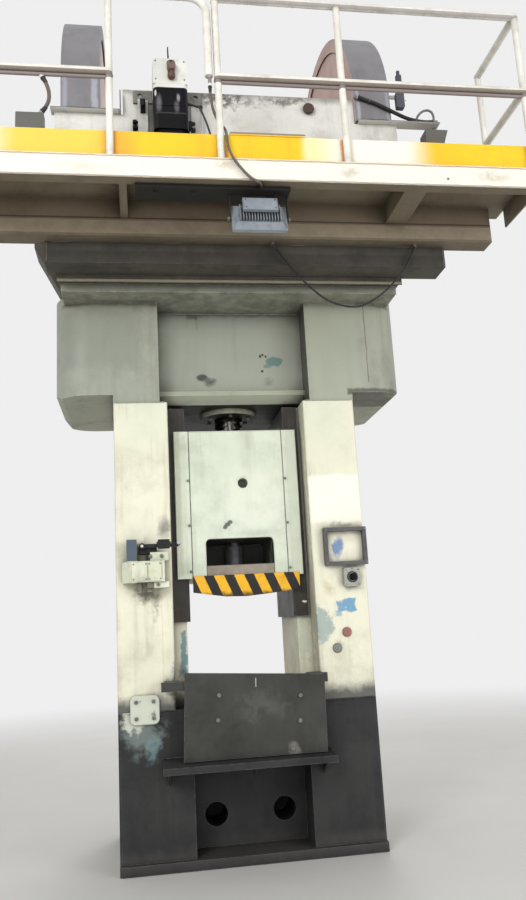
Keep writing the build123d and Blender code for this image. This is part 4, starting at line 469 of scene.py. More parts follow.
wear("coverPaint", {
    "color": "#b3b5ac", "second": ("#9ea39c", 7.0, 0.6), "grime": ("#55524a", 7.0, 0.5),
    "chips": ("#6d6c66", 34.0, 0.2), "corners": ("#2b2925", 0.04, 0.8), "edges": ("#dcdccf", 0.002, 0.6),
    "rough": (0.38, 0.58), "bump": (0.3, 0.0006),
    "stains": (
        ("box", (0.645, -0.506, 1.306), (0.03, 0.02, 0.03), 0.002, 0.0, "#a3665a", 0.95),
        ("box", (0.575, -0.506, 1.210), (0.03, 0.02, 0.03), 0.002, 0.0, "#84857f", 0.95),
        ("box", (-0.643, -0.51, 0.915), (0.092, 0.03, 0.09), 0.002, 0.0, "#cfd4c4", 1.0),
        ("round", (-0.60, -0.52, 0.89), (0.03, 0.02, 0.03), 0.6, 0.10, "#4d5c58", 0.85),
        ("round", (-0.67, -0.52, 0.96), (0.03, 0.02, 0.02), 0.6, 0.12, "#7f8c82", 0.8),
        ("box", (1.40, -0.95, 4.55), (0.12, 0.08, 0.055), 0.002, 0.0, "#5f5b57", 0.9),
        ("box", (1.17, -0.97, 4.83), (0.04, 0.06, 0.09), 0.002, 0.0, "#4a4c57", 0.95),
        ("box", (-1.212, -1.45, 4.23), (0.082, 0.035, 0.052), 0.002, 0.0, "#55524d", 0.95),
        ("box", (1.34, -0.96, 4.715), (0.09, 0.013, 0.08), 0.002, 0.0, "#6f6c69", 0.95))},
     "junction_boxes", "switch_box", "column_covers")
wear("holderPaint", {
    "color": "#5f5d60", "second": ("#4a494b", 9.0, 0.6), "grime": ("#2b2926", 8.0, 0.6),
    "chips": ("#a3a29a", 24.0, 0.25), "corners": ("#1b1a18", 0.04, 0.8), "edges": ("#a8a9a8", 0.003, 0.5),
    "rough": (0.4, 0.6), "metal": 0.1}, "square_holder")
wear("tripPaint", {
    "color": "#e4e7cf", "second": ("#cfd6bd", 9.0, 0.6), "grime": ("#77735a", 6.0, 0.55),
    "streaks": ("#86754f", 18.0, 0.35), "corners": ("#3a372d", 0.05, 0.85), "edges": ("#8b8875", 0.003, 0.6),
    "rough": (0.4, 0.62),
    "stains": (
        ("box", (-0.7035, -0.575, 1.872), (0.034, 0.05, 0.068), 0.003, 0.0, "#4d5c68", 1.0),
        ("box", (-0.628, -0.55, 1.645), (0.06, 0.06, 0.030), 0.003, 0.0, "#5d564b", 0.9),
        ("round", (-0.59, -0.62, 1.745), (0.04, 0.02, 0.03), 0.8, 0.10, "#d5d08e", 0.6))}, "trip_switch_box")
wear("lampMetal", {
    "color": "#9aa2ab", "second": ("#868e98", 12.0, 0.5), "grime": ("#4a4a50", 14.0, 0.5),
    "corners": ("#26262a", 0.03, 0.75), "edges": ("#c8ccd2", 0.0015, 0.5), "rough": (0.35, 0.5), "metal": 0.3,
    "bump": (0.25, 0.0003)}, "lamp_head")
wear("blackSteel", {
    "color": "#151313", "second": ("#201d1c", 6.0, 0.6), "grime": ("#37322d", 9.0, 0.3),
    "edges": ("#4f4a43", 0.002, 0.4), "rough": (0.45, 0.65), "bump": (0.3, 0.0006)}, "lamp_rail")
wear("unitBlack", {
    "color": "#060608", "second": ("#0e0f1a", 4.0, 0.7), "grime": ("#201f1e", 8.0, 0.25),
    "edges": ("#3a3940", 0.004, 0.4), "rough": (0.3, 0.45), "shine": 0.18, "bump": (0.15, 0.0006),
    "stains": (
        # Light patches and the thin light line across the black body: painted highlights
        ("round", (-0.474, -1.16, 4.600), (0.026, 0.02, 0.085), 0.8, 0.02, "#77767a", 0.85),
        ("round", (-0.494, -1.16, 4.672), (0.009, 0.02, 0.030), 0.5, 0.01, "#e6e6e8", 0.95),
        ("round", (-0.352, -1.16, 4.640), (0.016, 0.02, 0.040), 0.8, 0.02, "#a09ea4", 0.9),
        ("round", (-0.364, -1.16, 4.575), (0.024, 0.02, 0.060), 0.8, 0.02, "#6b6a70", 0.8),
        ("box", (-0.40, -1.16, 4.532), (0.10, 0.02, 0.007), 0.005, 0.01, "#4d4d52", 0.6),
        ("box", (-0.262, -1.07, 4.35), (0.028, 0.2, 0.25), 0.002, 0.01, "#3a3a42", 0.7),
        ("box", (-0.40, -1.07, 4.727), (0.15, 0.12, 0.0145), 0.001, 0.0, "#e9e9e3", 1.0))},
     "service_unit_body", "switch_knob")
wear("unitWhite", {
    "color": "#eeeee8", "second": ("#dcdcd2", 7.0, 0.5), "grime": ("#857c6b", 9.0, 0.45),
    "corners": ("#8e8577", 0.02, 0.4), "edges": ("#d5d1c4", 0.003, 0.4), "rough": (0.35, 0.55),
    "stains": (("box", (-0.392, -1.185, 4.845), (0.032, 0.024, 0.032), 0.003, 0.0, "#6b4f44", 0.95),
               ("round", (-0.400, -1.16, 4.79), (0.05, 0.02, 0.05), 0.9, 0.02, "#f3dcc4", 0.6))},
     "service_unit_head")
wear("zincSteel", {
    "color": "#8a8a84", "second": ("#6e6c66", 14.0, 0.6), "grime": ("#33302a", 12.0, 0.6),
    "edges": ("#cdccc4", 0.002, 0.6), "corners": ("#1f1d19", 0.03, 0.8), "rough": (0.32, 0.52), "metal": 0.7},
     "slide_bolts", "frame_bolts", "service_unit_bracket")
wear("leverBlack", {
    "color": "#1b1a1c", "second": ("#29282a", 12.0, 0.6), "grime": ("#4a463f", 12.0, 0.3),
    "edges": ("#6a6864", 0.002, 0.4), "rough": (0.4, 0.6), "shine": 0.3, "bump": (0.2, 0.0004),
    "stains": (("round", (-0.412, -0.60, 1.910), (0.017, 0.05, 0.017), 0.4, 0.0, "#c3c5c9", 0.9),)},
     "trip_lever")
wear("motorPaint", {
    "color": "#4d6470", "second": ("#425762", 5.0, 0.6), "grime": ("#28292a", 5.0, 0.6),
    "corners": ("#151718", 0.05, 0.8), "edges": ("#91a0a6", 0.003, 0.5), "rough": (0.4, 0.6)},
     "motor", "shift_cylinder")
wear("beltRubber", {
    "color": "#1d1c1c", "second": ("#2a2928", 20.0, 0.6), "grime": ("#57524a", 12.0, 0.35), "grain": 240.0,
    "rough": (0.5, 0.7), "bump": (0.25, 0.0003)}, "drive_belt", "hanging_cable", "hood_hose", "unit_cable")
wear("greyRubber", {
    "color": "#6b6158", "second": ("#5a5149", 20.0, 0.5), "grime": ("#332e29", 12.0, 0.4), "grain": 240.0,
    "rough": (0.5, 0.7), "bump": (0.25, 0.0003)}, "lamp_lead", "box_hose")
wear("clearTube", {
    "color": "#e9ecec", "second": ("#d5dada", 30.0, 0.6), "grime": ("#a7a594", 16.0, 0.4), "grain": 200.0,
    "rough": (0.12, 0.28), "coat": 0.5, "bump": (0.1, 0.0002)}, "unit_tube")


# Stripes of the guard under the slide: yellow on black, with soot along the lower edge
def makeStripes(pitch=0.1315, share=0.50, slant=0.43, start=0.157):
    paint = Paint("stripedPaint")
    along = paint.axis("X") + paint.axis("Z") * slant
    along = along + (paint.noise(30.0, 4.0, 0.7) - 0.5) * 0.006
    step = ((along - start) / pitch).wrap()
    band = step.between(0.0, 0.03).least(step.between(share + 0.03, share))
    worn = paint.noise(46.0, 6.0, 0.75).between(0.60, 0.66)
    color = paint.mix(band, "#141212", "#f4b81e")
    color = paint.mix(worn * 0.55, color, "#3a2f1c")
    color = paint.mix(paint.noise(9.0, 5.0, 0.7, shift=(3, 1, 1)).between(0.5, 0.8) * 0.5, color, "#6a4d12")
    soot = (paint.axis("Z") + (paint.noise(24.0, 5.0, 0.7) - 0.5) * 0.06).between(1.610, 1.572)
    color = paint.mix(soot * 0.9, color, "#15120f")
    paint.feed("Base Color", color)
    paint.feed("Roughness", paint.noise(16.0, 4.0).spread(0.4, 0.62))
    paint.feed("Normal", paint.node("ShaderNodeBump", inputs={"Strength": 0.3, "Distance": 0.0006,
                                                             "Height": worn + paint.noise(120.0)}))
    for slot in nodes["striped_guard"].material_slots:
        slot.material = paint.material
    paints["stripedPaint"] = paint


makeStripes()
bare = [n for n, part in nodes.items() if not part.material_slots or
        part.material_slots[0].material not in [p.material for p in paints.values()]]
print("finishes ready:", len(paints), "and bare parts:", bare)


# Mesh tools
class Part:
    def __init__(self):
        self.mesh = bmesh.new()

    def box(self, low, high, matrix=Matrix.Identity(4)):
        middle = [(a + b) / 2 for a, b in zip(low, high)]
        size = [abs(b - a) for a, b in zip(low, high)]
        move = matrix @ Matrix.Translation(middle) @ Matrix.Diagonal((*size, 1))
        bmesh.ops.create_cube(self.mesh, size=1.0, matrix=move)
        return self

    def rod(self, start, end, r, tip=None, sides=32, matrix=Matrix.Identity(4)):
        start, end = Vector(start), Vector(end)
        turn = (end - start).to_track_quat("Z", "Y").to_matrix().to_4x4()
        move = matrix @ Matrix.Translation((start + end) / 2) @ turn
        bmesh.ops.create_cone(self.mesh, cap_ends=True, segments=sides, radius1=r,
                              radius2=r if tip is None else tip, depth=(end - start).length, matrix=move)
        return self

    def lathe(self, start, axis, outline, sides=48, matrix=Matrix.Identity(4)):  # (height, radius) pairs
        turn = Vector(axis).to_track_quat("Z", "Y").to_matrix().to_4x4()
        move = matrix @ Matrix.Translation(start) @ turn
        rings = []
        for height, r in outline:
            if r < 1e-6:
                rings.append([self.mesh.verts.new(move @ Vector((0, 0, height)))] * sides)
            else:
                rings.append([self.mesh.verts.new(move @ Vector((r * cos(2 * pi * k / sides),
                                                                 r * sin(2 * pi * k / sides), height)))
                              for k in range(sides)])
        for lower, upper in zip(rings, rings[1:]):
            for k in range(sides):
                loop = [lower[k], lower[(k + 1) % sides], upper[(k + 1) % sides], upper[k]]
                loop = [v for i, v in enumerate(loop) if v not in loop[:i]]
                if len(loop) > 2:
                    self.mesh.faces.new(loop)
        return self

    def ring(self, centre, axis, major, minor, sides=32):
        steps = [2 * pi * k / 10 for k in range(11)]
        return self.lathe(centre, axis, [(minor * sin(a), major + minor * cos(a)) for a in steps], sides)

    def bolt(self, place, axis, r, height, washer=True):  # hexagon head on a washer, seen from outside
        place, axis = Vector(place), Vector(axis).normalized()
        if washer:
            self.rod(place, place + axis * r * 0.18, r * 1.35, sides=28)
            place = place + axis * r * 0.18
        self.rod(place, place + axis * height, r, sides=6)
        top = place + axis * height
        return self.rod(top, place + axis * (height + r * 0.14), r * 0.82, r * 0.6, sides=24)

    def weld(self, start, end, r=0.004, step=0.007):  # a bead in small ripples along a joint
        start, end = Vector(start), Vector(end)
        count = max(2, int((end - start).length / step))
        way = (end - start) / count
        turn = way.to_track_quat("Z", "Y").to_matrix().to_4x4()
        rings = []
        for k in range(count + 1):
            for share, size in ((0.0, 0.80), (0.5, 1.0)):
                if k == count and share:
                    continue
                fat = r * size * (1 + 0.10 * sin(k * 2.3)) * (0.5 if k == 0 or k == count else 1)
                move = Matrix.Translation(start + way * (k + share)) @ turn
                rings.append([self.mesh.verts.new(move @ Vector((fat * cos(pi * j / 4),
                                                                 fat * sin(pi * j / 4), 0)))
                              for j in range(8)])
        for a, b in zip(rings, rings[1:]):
            for j in range(8):
                self.mesh.faces.new([a[j], a[(j + 1) % 8], b[(j + 1) % 8], b[j]])
        self.mesh.faces.new(list(reversed(rings[0])))
        self.mesh.faces.new(rings[-1])
        return self

    def done(self, name, body, paint, slot=None, bevel=0.0, angle=40):
        bmesh.ops.recalc_face_normals(self.mesh, faces=self.mesh.faces)
        mesh = bpy.data.meshes.new(name)
        self.mesh.to_mesh(mesh)
        self.mesh.free()
        piece = bpy.data.objects.new(name, mesh)
        bpy.context.scene.collection.objects.link(piece)
        for face in mesh.polygons:
            face.use_smooth = True
        mesh.set_sharp_from_angle(angle=radians(angle))
        mesh.materials.append((paints[paint] if isinstance(paint, str) else paint).material)
        if bevel:
            round = piece.modifiers.new("edges", "BEVEL")
            round.width, round.segments, round.limit_method = bevel, 2, "ANGLE"
            round.angle_limit = radians(50)
        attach(piece, body)
        return piece


# Cords: one open spline each, over the same points as the tubes in the source
def hangCord(node, values, paint, slot):
    spots, diameter = values["points"], values["diameter"]
    curve = bpy.data.curves.new(node + "_line", "CURVE")
    curve.dimensions = "3D"
    curve.bevel_depth = diameter / 2
    curve.bevel_resolution = 5
    curve.resolution_u = 10
    curve.use_fill_caps = True
    line = curve.splines.new("NURBS")
    line.points.add(len(spots) - 1)
    for point, spot in zip(line.points, spots):
        point.co = (*spot, 1.0)
    line.order_u = 3
    line.use_endpoint_u = True
    curve.materials.append(paints[paint].material)
    piece = bpy.data.objects.new(node + "_line", curve)
    bpy.context.scene.collection.objects.link(piece)
    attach(piece, "frame")
    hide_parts(node)


cords = {
    "lamp_lead": {"diameter": 0.016, "length": 0.808, "points": (
        (-0.186, -1.499, 4.480), (-0.186, -1.499, 4.426), (-0.179, -1.485, 4.370), (-0.161, -1.464, 4.316),
        (-0.134, -1.457, 4.266), (-0.107, -1.477, 4.223), (-0.102, -1.502, 4.172), (-0.103, -1.522, 4.105),
        (-0.094, -1.536, 4.040), (-0.070, -1.541, 3.982), (-0.034, -1.543, 3.930), (0.008, -1.545, 3.878),
        (0.052, -1.537, 3.853), (0.088, -1.507, 3.8575), (0.088, -1.460, 3.8575))},
    "hanging_cable": {"diameter": 0.012, "length": 1.313, "lay": "hanging", "points": (
        (0.226, -0.985, 3.742), (0.298, -0.985, 3.636), (0.370, -0.985, 3.535), (0.479, -0.985, 3.422),
        (0.571, -0.985, 3.353), (0.684, -0.985, 3.321), (0.777, -0.985, 3.323), (0.902, -0.985, 3.396),
        (1.011, -0.985, 3.496), (1.108, -0.985, 3.614), (1.166, -0.985, 3.740))},
    "hood_hose": {"diameter": 0.025, "length": 0.553, "stiffness": "stiff", "points": (
        (0.863, -1.007, 4.815), (0.952, -1.007, 4.789), (1.053, -1.007, 4.741), (1.120, -1.007, 4.706),
        (1.187, -1.005, 4.675), (1.262, -0.993, 4.6645), (1.328, -0.985, 4.664), (1.385, -0.985, 4.664))},
    "box_hose": {"diameter": 0.022, "length": 0.213, "stiffness": "stiff", "points": (
        (-1.1378, -1.499, 4.4873), (-1.1133, -1.499, 4.4438), (-1.101, -1.480, 4.385),
        (-1.116, -1.460, 4.338), (-1.148, -1.450, 4.302))},
    "unit_cable": {"diameter": 0.012, "length": 0.776, "points": (
        (-0.2915, -1.100, 4.640), (-0.2585, -1.100, 4.640), (-0.236, -1.110, 4.617), (-0.222, -1.150, 4.590),
        (-0.208, -1.225, 4.487), (-0.193, -1.318, 4.352), (-0.180, -1.395, 4.215), (-0.172, -1.425, 4.090),
        (-0.172, -1.425, 4.006))},
    "unit_tube": {"diameter": 0.008, "length": 0.365, "points": (
        (-0.192, -0.974, 4.720), (-0.192, -0.974, 4.676), (-0.189, -0.980, 4.616), (-0.191, -0.992, 4.550),
        (-0.202, -1.006, 4.494), (-0.222, -1.018, 4.463), (-0.247, -1.026, 4.452), (-0.268, -1.030, 4.464),
        (-0.276, -1.030, 4.486), (-0.276, -1.030, 4.510))},
}
cordPaints = {"lamp_lead": ("greyRubber", "grey_rubber"), "box_hose": ("greyRubber", "grey_rubber"),
              "hanging_cable": ("beltRubber", "belt_rubber"), "hood_hose": ("beltRubber", "belt_rubber"),
              "unit_cable": ("beltRubber", "belt_rubber"), "unit_tube": ("clearTube", "clear_tube")}
for node, values in cords.items():
    hangCord(node, values, *cordPaints[node])


def addStrainReliefs():  # a tapered sleeve with a collar where each cord leaves or enters a part
    sleeves = Part()
    for node, values in cords.items():
        spots, r = [Vector(p) for p in values["points"]], values["diameter"] / 2
        ends = [(spots[0], spots[1])]
        if node != "hanging_cable":
            ends.append((spots[-1], spots[-2]))
        for place, inner in ends:
            way = (inner - place).normalized()
            reach = min((inner - place).length * 0.75, 0.045)
            sleeves.lathe(place, way, [(0.0, 0.0), (0.0, r + 0.0042), (reach * 0.22, r + 0.0042),
                                       (reach * 0.24, r + 0.0026), (reach, r + 0.0007), (reach, 0.0)], 24)
    sleeves.done("cord_sleeves", "frame", "beltRubber", "belt_rubber")


addStrainReliefs()
print("cords ready:", len(cords))


# Screw: four-start thread, right hand, with its foot, neck and cap
screwSizes = {"crest": 0.100, "root": 0.086, "pitch": 0.040, "starts": 4, "footLow": 2.441,
              "slideTop": 2.6767, "neckLow": 4.245, "hubTop": 4.645, "footRadius": 0.120,
              "neckRadius": 0.082, "capRadius": 0.110, "capHeight": 0.032}


def cutScrew(v, columns=72):
    part = Part()
    low, high, pitch = v["slideTop"] + 0.030, v["neckLow"] - 0.012, v["pitch"]
    lead = pitch * v["starts"]
    steps = ((0.0, v["crest"]), (0.36, v["crest"]), (0.48, v["root"]), (0.88, v["root"]))
    rows = int((high - low + lead) / pitch + 1) * len(steps)
    grid = []
    for j in range(rows):
        share, r = steps[j % len(steps)]
        start = low - lead + (j // len(steps) + share) * pitch
        ring = []
        for k in range(columns):
            z = start + lead * k / columns
            z = min(max(z, low), high)
            turn = 2 * pi * k / columns
            ring.append(part.mesh.verts.new((r * cos(turn), r * sin(turn), z)))
        grid.append(ring)
    jump = v["starts"] * len(steps)
    for j in range(rows - 1):
        for k in range(columns - 1):
            part.mesh.faces.new((grid[j][k], grid[j][k + 1], grid[j + 1][k + 1], grid[j + 1][k]))
        if j + 1 + jump < rows:  # the last column meets the first one a lead higher
            part.mesh.faces.new((grid[j][-1], grid[j + jump][0], grid[j + 1 + jump][0], grid[j + 1][-1]))
    bmesh.ops.remove_doubles(part.mesh, verts=part.mesh.verts, dist=0.00005)
    bmesh.ops.dissolve_degenerate(part.mesh, dist=0.00005, edges=part.mesh.edges)
    foot, neck, root = v["footRadius"], v["neckRadius"], v["root"] + 0.001
    part.lathe((0, 0, 0), (0, 0, 1), [
        (v["footLow"], 0.0), (v["footLow"], foot - 0.004), (v["footLow"] + 0.004, foot),
        (v["slideTop"] - 0.004, foot),
        (v["slideTop"], foot - 0.004), (v["slideTop"], v["crest"] - 0.0005), (low, v["crest"] - 0.0005),
        (low + 0.002, root - 0.004), (high - 0.002, root - 0.004), (high, v["crest"] - 0.0005),
        (v["neckLow"], v["crest"] - 0.0005), (v["neckLow"], neck), (v["hubTop"], neck),
        (v["hubTop"], v["capRadius"]), (v["hubTop"] + v["capHeight"] - 0.006, v["capRadius"]),
        (v["hubTop"] + v["capHeight"], v["capRadius"] - 0.006), (v["hubTop"] + v["capHeight"], 0.0)], 64)
    for k in range(6):  # screws that hold the cap on the neck, sunk flush
        turn = 2 * pi * k / 6
        x, y = 0.07 * cos(turn), 0.07 * sin(turn)
        part.rod((x, y, v["hubTop"] + 0.02), (x, y, v["hubTop"] + v["capHeight"] + 0.004), 0.011, sides=6)
    piece = part.done("screw_thread", "screw_and_flywheel", "greasySteel", "machined_steel", angle=28)
    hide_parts("screw")


cutScrew(screwSizes)
print("screw ready")

# Floodlight: lens, diodes, screws and the bolts of its yoke and rail
lampSizes = {"pivot": (0.080, -1.385, 3.697), "lean": 75, "rim": 0.024, "width": 0.325, "height": 0.180}


def fitLamp(v):
    base = (Matrix.Translation(v["pivot"]) @ Matrix.Rotation(radians(v["lean"]), 4, "X")
            @ Matrix.Translation((0, 0, v["rim"] / 2)))
    w, h, t = v["width"] / 2, v["height"] / 2, v["rim"]
    lens = Part().box((-w + 0.017, -h + 0.017, -t + 0.004), (w - 0.017, h - 0.017, -t + 0.0075), base)
    lens.box((-w + 0.012, -h + 0.012, -t - 0.0015), (-w + 0.020, h - 0.012, -t + 0.002), base)
    lens.box((w - 0.020, -h + 0.012, -t - 0.0015), (w - 0.012, h - 0.012, -t + 0.002), base)
    lens.box((-w + 0.012, -h + 0.012, -t - 0.0015), (w - 0.012, -h + 0.020, -t + 0.002), base)
    lens.box((-w + 0.012, h - 0.020, -t - 0.0015), (w - 0.012, h - 0.012, -t + 0.002), base)
    lens.done("lamp_lens", "lamp", "lampGlass", "lamp_aluminium", bevel=0.0006)
    diodes = Part()
    for i in range(9):
        for j in range(4):
            x, y = (i - 4) * 0.031, (j - 1.5) * 0.034
            diodes.lathe(base @ Vector((x, y, -t + 0.004)), base.to_3x3() @ Vector((0, 0, -1)),
                         [(0.0, 0.0), (0.0, 0.0105), (0.0012, 0.0105), (0.0012, 0.0060),
                          (0.0030, 0.0035), (0.0034, 0.0)], 16)
    diodes.done("lamp_diodes", "lamp", "lampDiode", "lamp_aluminium")
    fixings = Part()
    for x in (-w + 0.012, w - 0.012):
        for y in (-h + 0.012, h - 0.012):
            fixings.rod((x, y, 0.0), (x, y, 0.0035), 0.0052, 0.0042, 20, base)
            fixings.rod((x, y, 0.0035), (x, y, 0.0042), 0.0026, sides=6, matrix=base)
    for x in (-0.085, 0.085):
        for y in (0.000, 0.060):
            fixings.rod((x, y, 0.089), (x, y, 0.0925), 0.0048, 0.0040, 20, base)
    fixings.done("lamp_screws", "lamp", "zincSteel", "zinc_plate", bevel=0.0004)
    clamps = Part()
    for side in (-1, 1):
        x = v["pivot"][0] + side * (w + 0.011)
        clamps.bolt((x, v["pivot"][1], v["pivot"][2]), (side, 0, 0), 0.0125, 0.009)
    clamps.done("lamp_pivot_bolts", "frame", "zincSteel", "zinc_plate", bevel=0.0006)
    hooks = Part()
    for x in (-0.52, -0.30, 0.18):  # bolts that hold the rail under the fascia
        hooks.bolt((x, -1.41, 3.845), (0, 0, -1), 0.013, 0.010)
    for x in (0.02, 0.14):
        hooks.bolt((x, -1.385, 3.840), (0, 0, -1), 0.010, 0.008)
    hooks.done("lamp_rail_bolts", "frame", "blackSteel", "black_steel", bevel=0.0006)


wear("lampGlass", {"color": "#c9d2d8", "second": ("#b4bec6", 20.0, 0.5), "grime": ("#8d8c82", 16.0, 0.4),
                   "rough": (0.08, 0.2), "coat": 0.5, "bump": (0.1, 0.0001)})
wear("lampDiode", {"color": "#efe6b4", "second": ("#e2d48c", 60.0, 0.5), "rough": (0.2, 0.35)})
fitLamp(lampSizes)
print("floodlight ready")

# Service unit on the platform: side plates with handle and knobs, rusty fitting, screws
unitSizes = {"middle": -0.400, "front": -1.160, "back": -0.980, "half": 0.1085, "low": 4.006, "top": 4.926,
             "knobs": ((-0.205, 4.572, 0.017), (-0.205, 4.530, 0.022), (0.128, 4.575, 0.014),
                       (0.128, 4.530, 0.016)),
             "ribs": (4.10, 4.20, 4.30), "headScrews": (4.770, 4.900), "plateScrews": (4.30, 4.62)}


def fitUnit(v):
    x, y, back = v["middle"], v["front"], v["back"]
    plates = Part()
    plates.box((x - 0.205, back - 0.020, v["low"]), (x - 0.140, back - 0.004, 4.728))
    plates.box((x - 0.205, back - 0.022, 4.700), (x - 0.190, back - 0.004, 4.735))
    plates.box((x + 0.112, back - 0.018, v["low"]), (x + 0.128, back - 0.004, 4.690))
    for z in v["plateScrews"]:
        plates.rod((x - 0.150, back - 0.020, z), (x - 0.150, back - 0.023, z), 0.006, 0.005, 18)
    plates.done("unit_side_plates", "frame", "sidePlate", "unit_white", bevel=0.0015)
    knobs = Part()
    knobs.box((x - 0.188, back - 0.046, 4.632), (x - 0.156, back - 0.018, 4.722))
    knobs.rod((x - 0.172, back - 0.050, 4.705), (x - 0.172, back - 0.072, 4.650), 0.010, 0.008, 20)
    for reach, z, r in v["knobs"]:
        way = -1 if reach < 0 else 1
        knobs.lathe((x + reach, back - 0.012, z), (way, 0, 0), [
            (0.0, 0.0), (0.0, r * 0.5), (0.008, r * 0.5), (0.010, r), (0.030, r * 0.92), (0.034, r * 0.7),
            (0.034, 0.0)], 24)
    knobs.done("unit_knobs", "frame", "unitBlack", "unit_black", bevel=0.0012)
    trim = Part()
    trim.box((x - v["half"] + 0.018, y - 0.003, 4.585), (x - v["half"] + 0.022, y + 0.01, 4.708))
    trim.box((x + v["half"] - 0.022, y - 0.003, 4.585), (x + v["half"] - 0.018, y + 0.01, 4.708))
    trim.box((x - v["half"] + 0.018, y - 0.003, 4.583), (x + v["half"] - 0.018, y + 0.01, 4.587))
    for z in v["ribs"]:
        trim.box((x - 0.070, y + 0.0065, z), (x + 0.070, y + 0.0125, z + 0.055))
    trim.done("unit_cover_ribs", "frame", "unitBlack", "unit_black", bevel=0.0014)
    fitting = Part()
    centre = Vector((x + 0.008, y - 0.020, 4.826))
    fitting.lathe(centre - Vector((0, 0, 0.062)), (0, 0, 1), [
        (0.0, 0.0), (0.0, 0.017), (0.010, 0.024), (0.030, 0.024), (0.034, 0.019), (0.088, 0.019),
        (0.092, 0.027), (0.112, 0.027), (0.116, 0.014), (0.122, 0.014), (0.122, 0.0)], 32)
    fitting.ring(centre + Vector((0, 0, 0.010)), (0, 0, 1), 0.0200, 0.0026)
    fitting.ring(centre - Vector((0, 0, 0.014)), (0, 0, 1), 0.0200, 0.0026)
    fitting.done("unit_fitting", "frame", "rustyBrass", "unit_white", bevel=0.0008)
    spike = Part()
    top, spikeY = v["top"], y + 0.07
    spike.rod((x - 0.004, spikeY, top - 0.004), (x - 0.004, spikeY, top + 0.014), 0.015, 0.012, 24)
    spike.rod((x - 0.004, spikeY, top + 0.010), (x - 0.006, spikeY, top + 0.132), 0.0062, 0.0040, 16)
    spike.done("unit_spike", "frame", "darkSteel", "dark_steel", bevel=0.0008)
    screws = Part()
    for dx in (-0.090, 0.090):
        for z in v["headScrews"]:
            screws.bolt((x + dx, y, z), (0, -1, 0), 0.0055, 0.0035, False)
    for dx, dy in ((-0.150, -0.045), (0.140, -0.045)):
        screws.bolt((x + dx, back + dy, v["low"] + 0.012), (0, 0, 1), 0.011, 0.008)
    screws.done("unit_screws", "frame", "zincSteel", "zinc_plate", bevel=0.0005)


wear("sidePlate", {"color": "#dad8d3", "second": ("#bdbbb6", 9.0, 0.5), "grime": ("#7d756a", 12.0, 0.4),
                   "corners": ("#5c564e", 0.03, 0.5), "edges": ("#efeeea", 0.002, 0.5), "rough": (0.35, 0.55),
                   "stains": (("box", (-0.28, -0.99, 4.35), (0.02, 0.05, 0.5), 0.002, 0.0, "#8d8c98", 0.9),)})
wear("rustyBrass", {"color": "#6a4c40", "second": ("#84695c", 30.0, 0.6), "grime": ("#3a221a", 22.0, 0.6),
                    "edges": ("#b39a86", 0.001, 0.6), "rough": (0.4, 0.6), "metal": 0.3,
                    "stains": (
                        ("box", (-0.39, -1.18, 4.880), (0.05, 0.06, 0.026), 0.006, 0.0, "#241919", 0.9),
                        # Light spot on the fitting: painted highlight
                        ("round", (-0.386, -1.205, 4.842), (0.007, 0.02, 0.022), 0.6, 0.0, "#dccabf", 0.85),
                        ("round", (-0.406, -1.2, 4.80), (0.010, 0.03, 0.03), 0.6, 0.02, "#2b1a16", 0.7))})
fitUnit(unitSizes)
print("service unit ready")

# Hoods: painted rims round the open sides, hose clips, weld beads and the switch's head
hoodSizes = {"radius": 0.9915, "rim": 0.905, "axis": 4.805, "low": 4.651, "inner": 0.842, "outer": 1.090,
             "sheet": 0.0025}


def fitHoods(v):
    for side, name, paint, slot in ((-1, "hood_left_inner_rim", "hoodPaint", "hood_sheet"),
                                    (1, "hood_right_inner_rim", "discPaint", "disc_primer")):
        rims, rings = Part(), []
        for k in range(65):
            spots = []
            for r in (v["rim"], v["radius"]):
                start = asin((v["axis"] - v["low"]) / r)
                turn = -start + (pi + 2 * start) * k / 64
                spots.append((-r * cos(turn), v["axis"] + r * sin(turn)))
            near, far = side * (v["inner"] + 0.0005), side * (v["inner"] + v["sheet"])
            corners = [(near, *spots[0]), (near, *spots[1]), (far, *spots[1]), (far, *spots[0])]
            rings.append([rims.mesh.verts.new(corner) for corner in corners])
        for a, b in zip(rings, rings[1:]):
            for j in range(4):
                rims.mesh.faces.new((a[j], a[(j + 1) % 4], b[(j + 1) % 4], b[j]))
        rims.mesh.faces.new(rings[0])
        rims.mesh.faces.new(list(reversed(rings[-1])))
        rims.done(name, "frame", paint, slot)
    clips = Part()
    for x, y, z in ((0.940, -0.993, 4.792), (1.262, -0.9775, 4.6645)):
        clips.ring((x, y - 0.013, z), (1, 0, 0) if x > 1 else (0.96, 0, -0.28), 0.0140, 0.0020, 24)
        clips.box((x - 0.006, y - 0.002, z - 0.020), (x + 0.006, y + (0.0 if x < 1 else 0.006), z + 0.020))
    clips.done("hose_clips", "frame", "zincSteel", "zinc_plate", bevel=0.0004)
    pads = Part()
    for side in (-1, 1):
        for dy in (-0.120, 0.120):
            pads.ring((side * (v["outer"] + 0.003), dy, v["axis"] + 0.040), (1, 0, 0), 0.0265, 0.0035)
    pads.weld((0.870, -1.013, 4.650), (1.080, -1.013, 4.650), 0.0028)
    pads.weld((-1.080, -1.013, 4.650), (-0.870, -1.013, 4.650), 0.0028)
    pads.done("hood_weld_beads", "frame", "hoodPaint", "hood_sheet")
    relay = Part()
    relay.box((1.150, -1.004, 4.955), (1.186, -0.9765, 5.010))
    relay.box((1.158, -0.999, 5.010), (1.178, -0.981, 5.045))
    relay.rod((1.168, -0.990, 4.888), (1.168, -0.990, 4.957), 0.009, sides=20)
    for x, z in ((1.152, 4.79), (1.188, 4.79), (1.152, 4.87), (1.188, 4.87)):
        relay.rod((x, -1.0325, z), (x, -1.036, z), 0.004, 0.0032, 16)
    relay.done("hood_switch_head", "frame", "relayPaint", "cover_metal", bevel=0.002)


